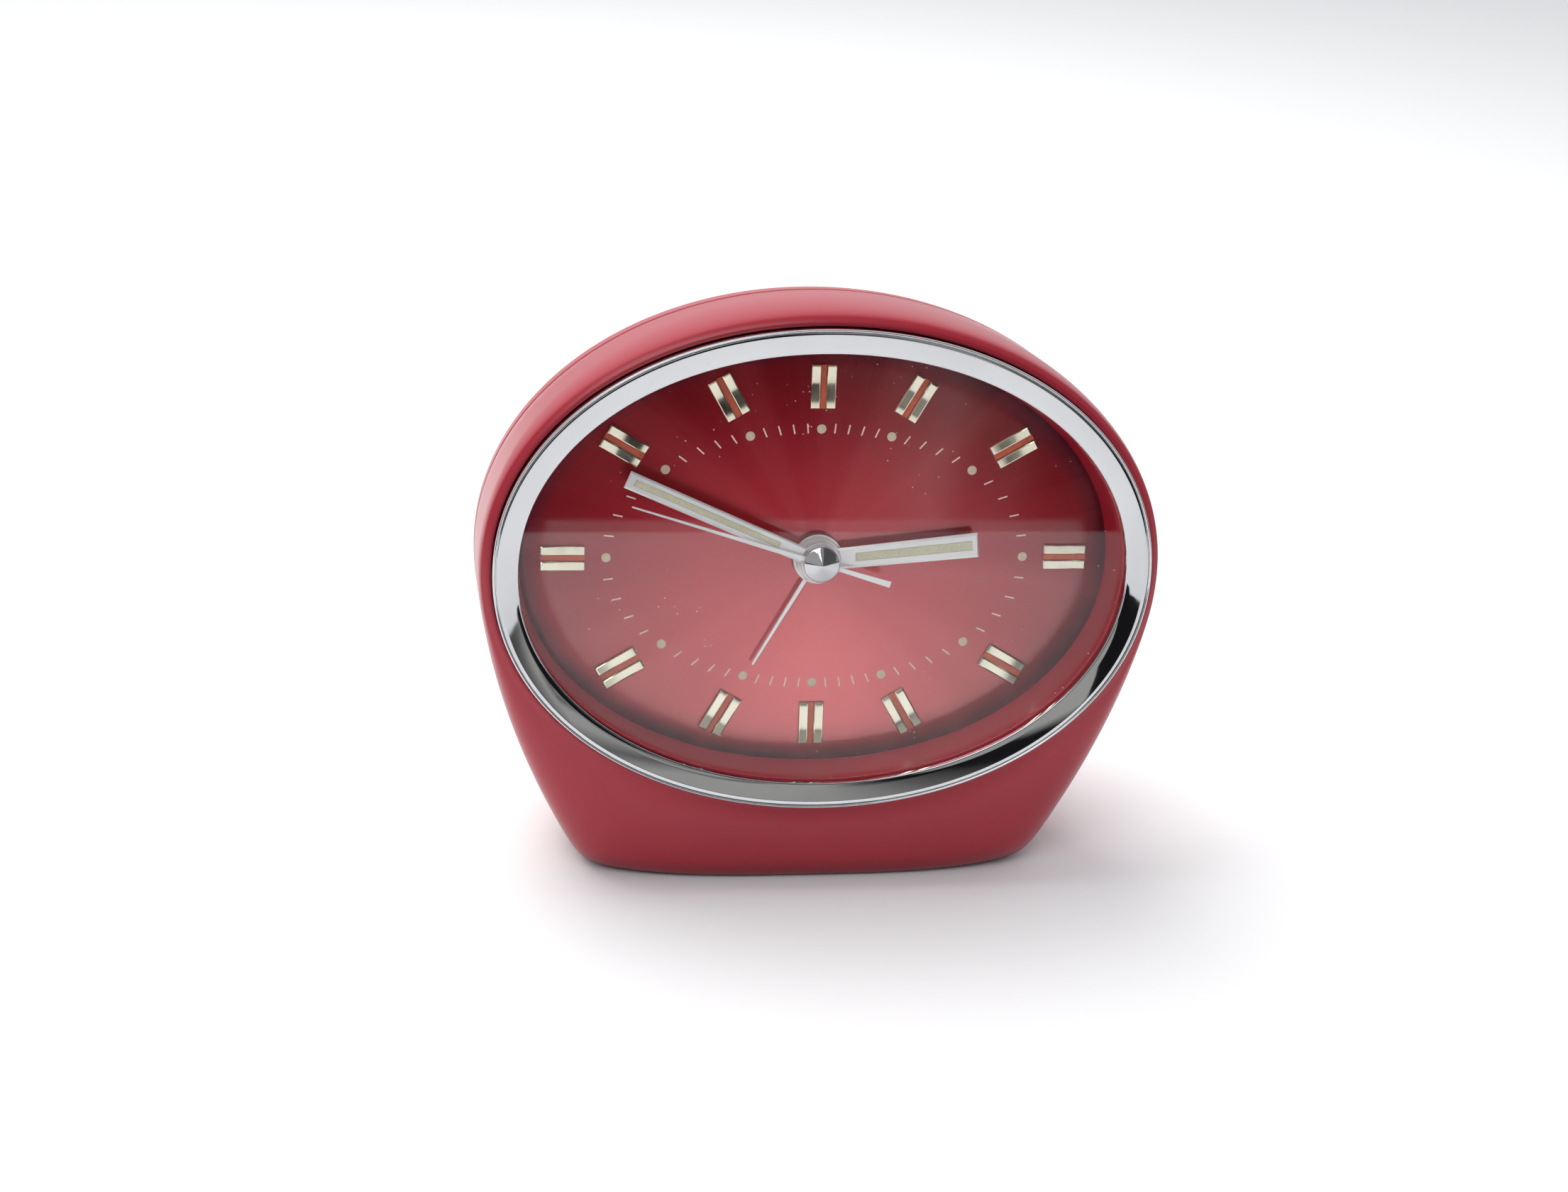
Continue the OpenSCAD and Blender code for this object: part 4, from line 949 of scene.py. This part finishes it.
area("top light", (-0.28, 0.34, 0.80), (0, 0, 0.05), (0.9, 0.7), 8.5,
     (1.0, 0.99, 0.97)).visible_glossy = False
area("front light", (-0.25, -0.70, 0.80), (0, 0, 0.05), (0.7, 0.5), 3.0, (0.97, 0.98, 1.0))


def unseen_card(name, verts, shade):
    """A glowing card that only reflections see."""
    ob = new_object(name, verts, [(0, 1, 2, 3)], smooth=False, place=None)
    mat = bpy.data.materials.new(name)
    mat.use_nodes = True
    nt = mat.node_tree
    nt.nodes.clear()
    out, em = node(nt, "ShaderNodeOutputMaterial"), node(nt, "ShaderNodeEmission")
    sep = node(nt, "ShaderNodeSeparateXYZ")
    tc = node(nt, "ShaderNodeTexCoord")
    nt.links.new(tc.outputs["Object"], sep.inputs[0])
    nt.links.new(shade(nt, sep, tc.outputs["Object"]), em.inputs[0])
    nt.links.new(em.outputs[0], out.inputs[0])
    set_mat(ob, mat)
    for flag in ("camera", "diffuse", "shadow", "transmission", "volume_scatter"):
        setattr(ob, "visible_" + flag, False)
    return ob


# degrees to the right of straight ahead that the bands on the two cards cover
CARD_SPAN = 20.0


def bearing(nt, sep):
    """Degrees to the right of straight ahead, as seen from the clock."""
    ahead = maths(nt, "MULTIPLY", sep.outputs[1], -1.0)
    return maths(nt, "MULTIPLY", maths(nt, "ARCTAN2", sep.outputs[0], ahead), math.degrees(1))


def far_shade(nt, sep, vec):
    """A plain studio ahead of the clock: a few broad neutral bands, pale and dark."""
    u = level(nt, bearing(nt, sep), 0.0, 1.0, 0.0, CARD_SPAN)
    return ramp(nt, u, FAR_BANDS)


def low_shade(nt, sep, vec):
    """A dark low card, with a soft glow off to the right."""
    u = level(nt, bearing(nt, sep), 0.0, 1.0, 0.0, CARD_SPAN)
    wob = noise(nt, vec, 5.0, 2, 0.5)
    u = maths(nt, "ADD", u, level(nt, wob, -0.014, 0.014))
    return ramp(nt, u, LOW_BANDS)


DARK, DIM, PALE = (0.012, 0.012, 0.014), (0.16, 0.16, 0.155), (0.46, 0.455, 0.44)
FAR_BANDS = [(0.0, PALE), (0.31, PALE), (0.345, DARK), (0.40, DARK), (0.44, DIM), (0.48, PALE), (0.54, PALE),
             (0.575, DIM), (0.63, PALE), (0.67, PALE), (0.70, DIM), (0.74, PALE), (0.78, DARK), (1.0, DARK)]
LOW_BANDS = [(0.0, DARK), (0.44, DARK), (0.56, DIM), (0.66, PALE), (0.72, DIM), (0.78, DIM), (0.84, DARK),
             (1.0, DARK)]
unseen_card("far_room", [(-4, -3.2, 0.0), (4, -3.2, 0.0), (4, -3.9, 6.0), (-4, -3.9, 6.0)], far_shade)
unseen_card("table_end", [(-4, -3.2, 0.001), (4, -3.2, 0.001), (4, -0.584, 0.001), (-4, -0.584, 0.001)],
            low_shade)

# the camera's angles, its distance from the dial's centre, the width that it sees at that distance,
# and how far right of the middle of its view and above it the dial's centre lies
AZ, EL, ROLL, DIST = math.radians(9.17), math.radians(14.65), math.radians(2.05), 462.0
VIEW_W = 274.1935
SHIFT_RIGHT, SHIFT_UP = 5.7196, 6.8114
back = Vector((-math.sin(AZ) * math.cos(EL), math.sin(EL), math.cos(AZ) * math.cos(EL)))
right = Vector((0, 1, 0)).cross(back).normalized()
up = back.cross(right)
r2 = right * math.cos(ROLL) + up * math.sin(ROLL)
u2 = -right * math.sin(ROLL) + up * math.cos(ROLL)
eye = back * DIST - r2 * SHIFT_RIGHT - u2 * SHIFT_UP
cam_data = bpy.data.cameras.new("camera")
cam = bpy.data.objects.new("camera", cam_data)
scene.collection.objects.link(cam)
cam_data.sensor_width = 36.0
cam_data.lens = cam_data.sensor_width * DIST / VIEW_W
cam_data.clip_start, cam_data.clip_end = 0.01, 50
spin = DIAL.to_quaternion().to_matrix()
axes = Matrix((spin @ r2, spin @ u2, spin @ back)).transposed().to_4x4()
cam.matrix_world = Matrix.Translation(DIAL @ eye) @ axes
scene.camera = cam
scene.view_settings.view_transform = "Standard"
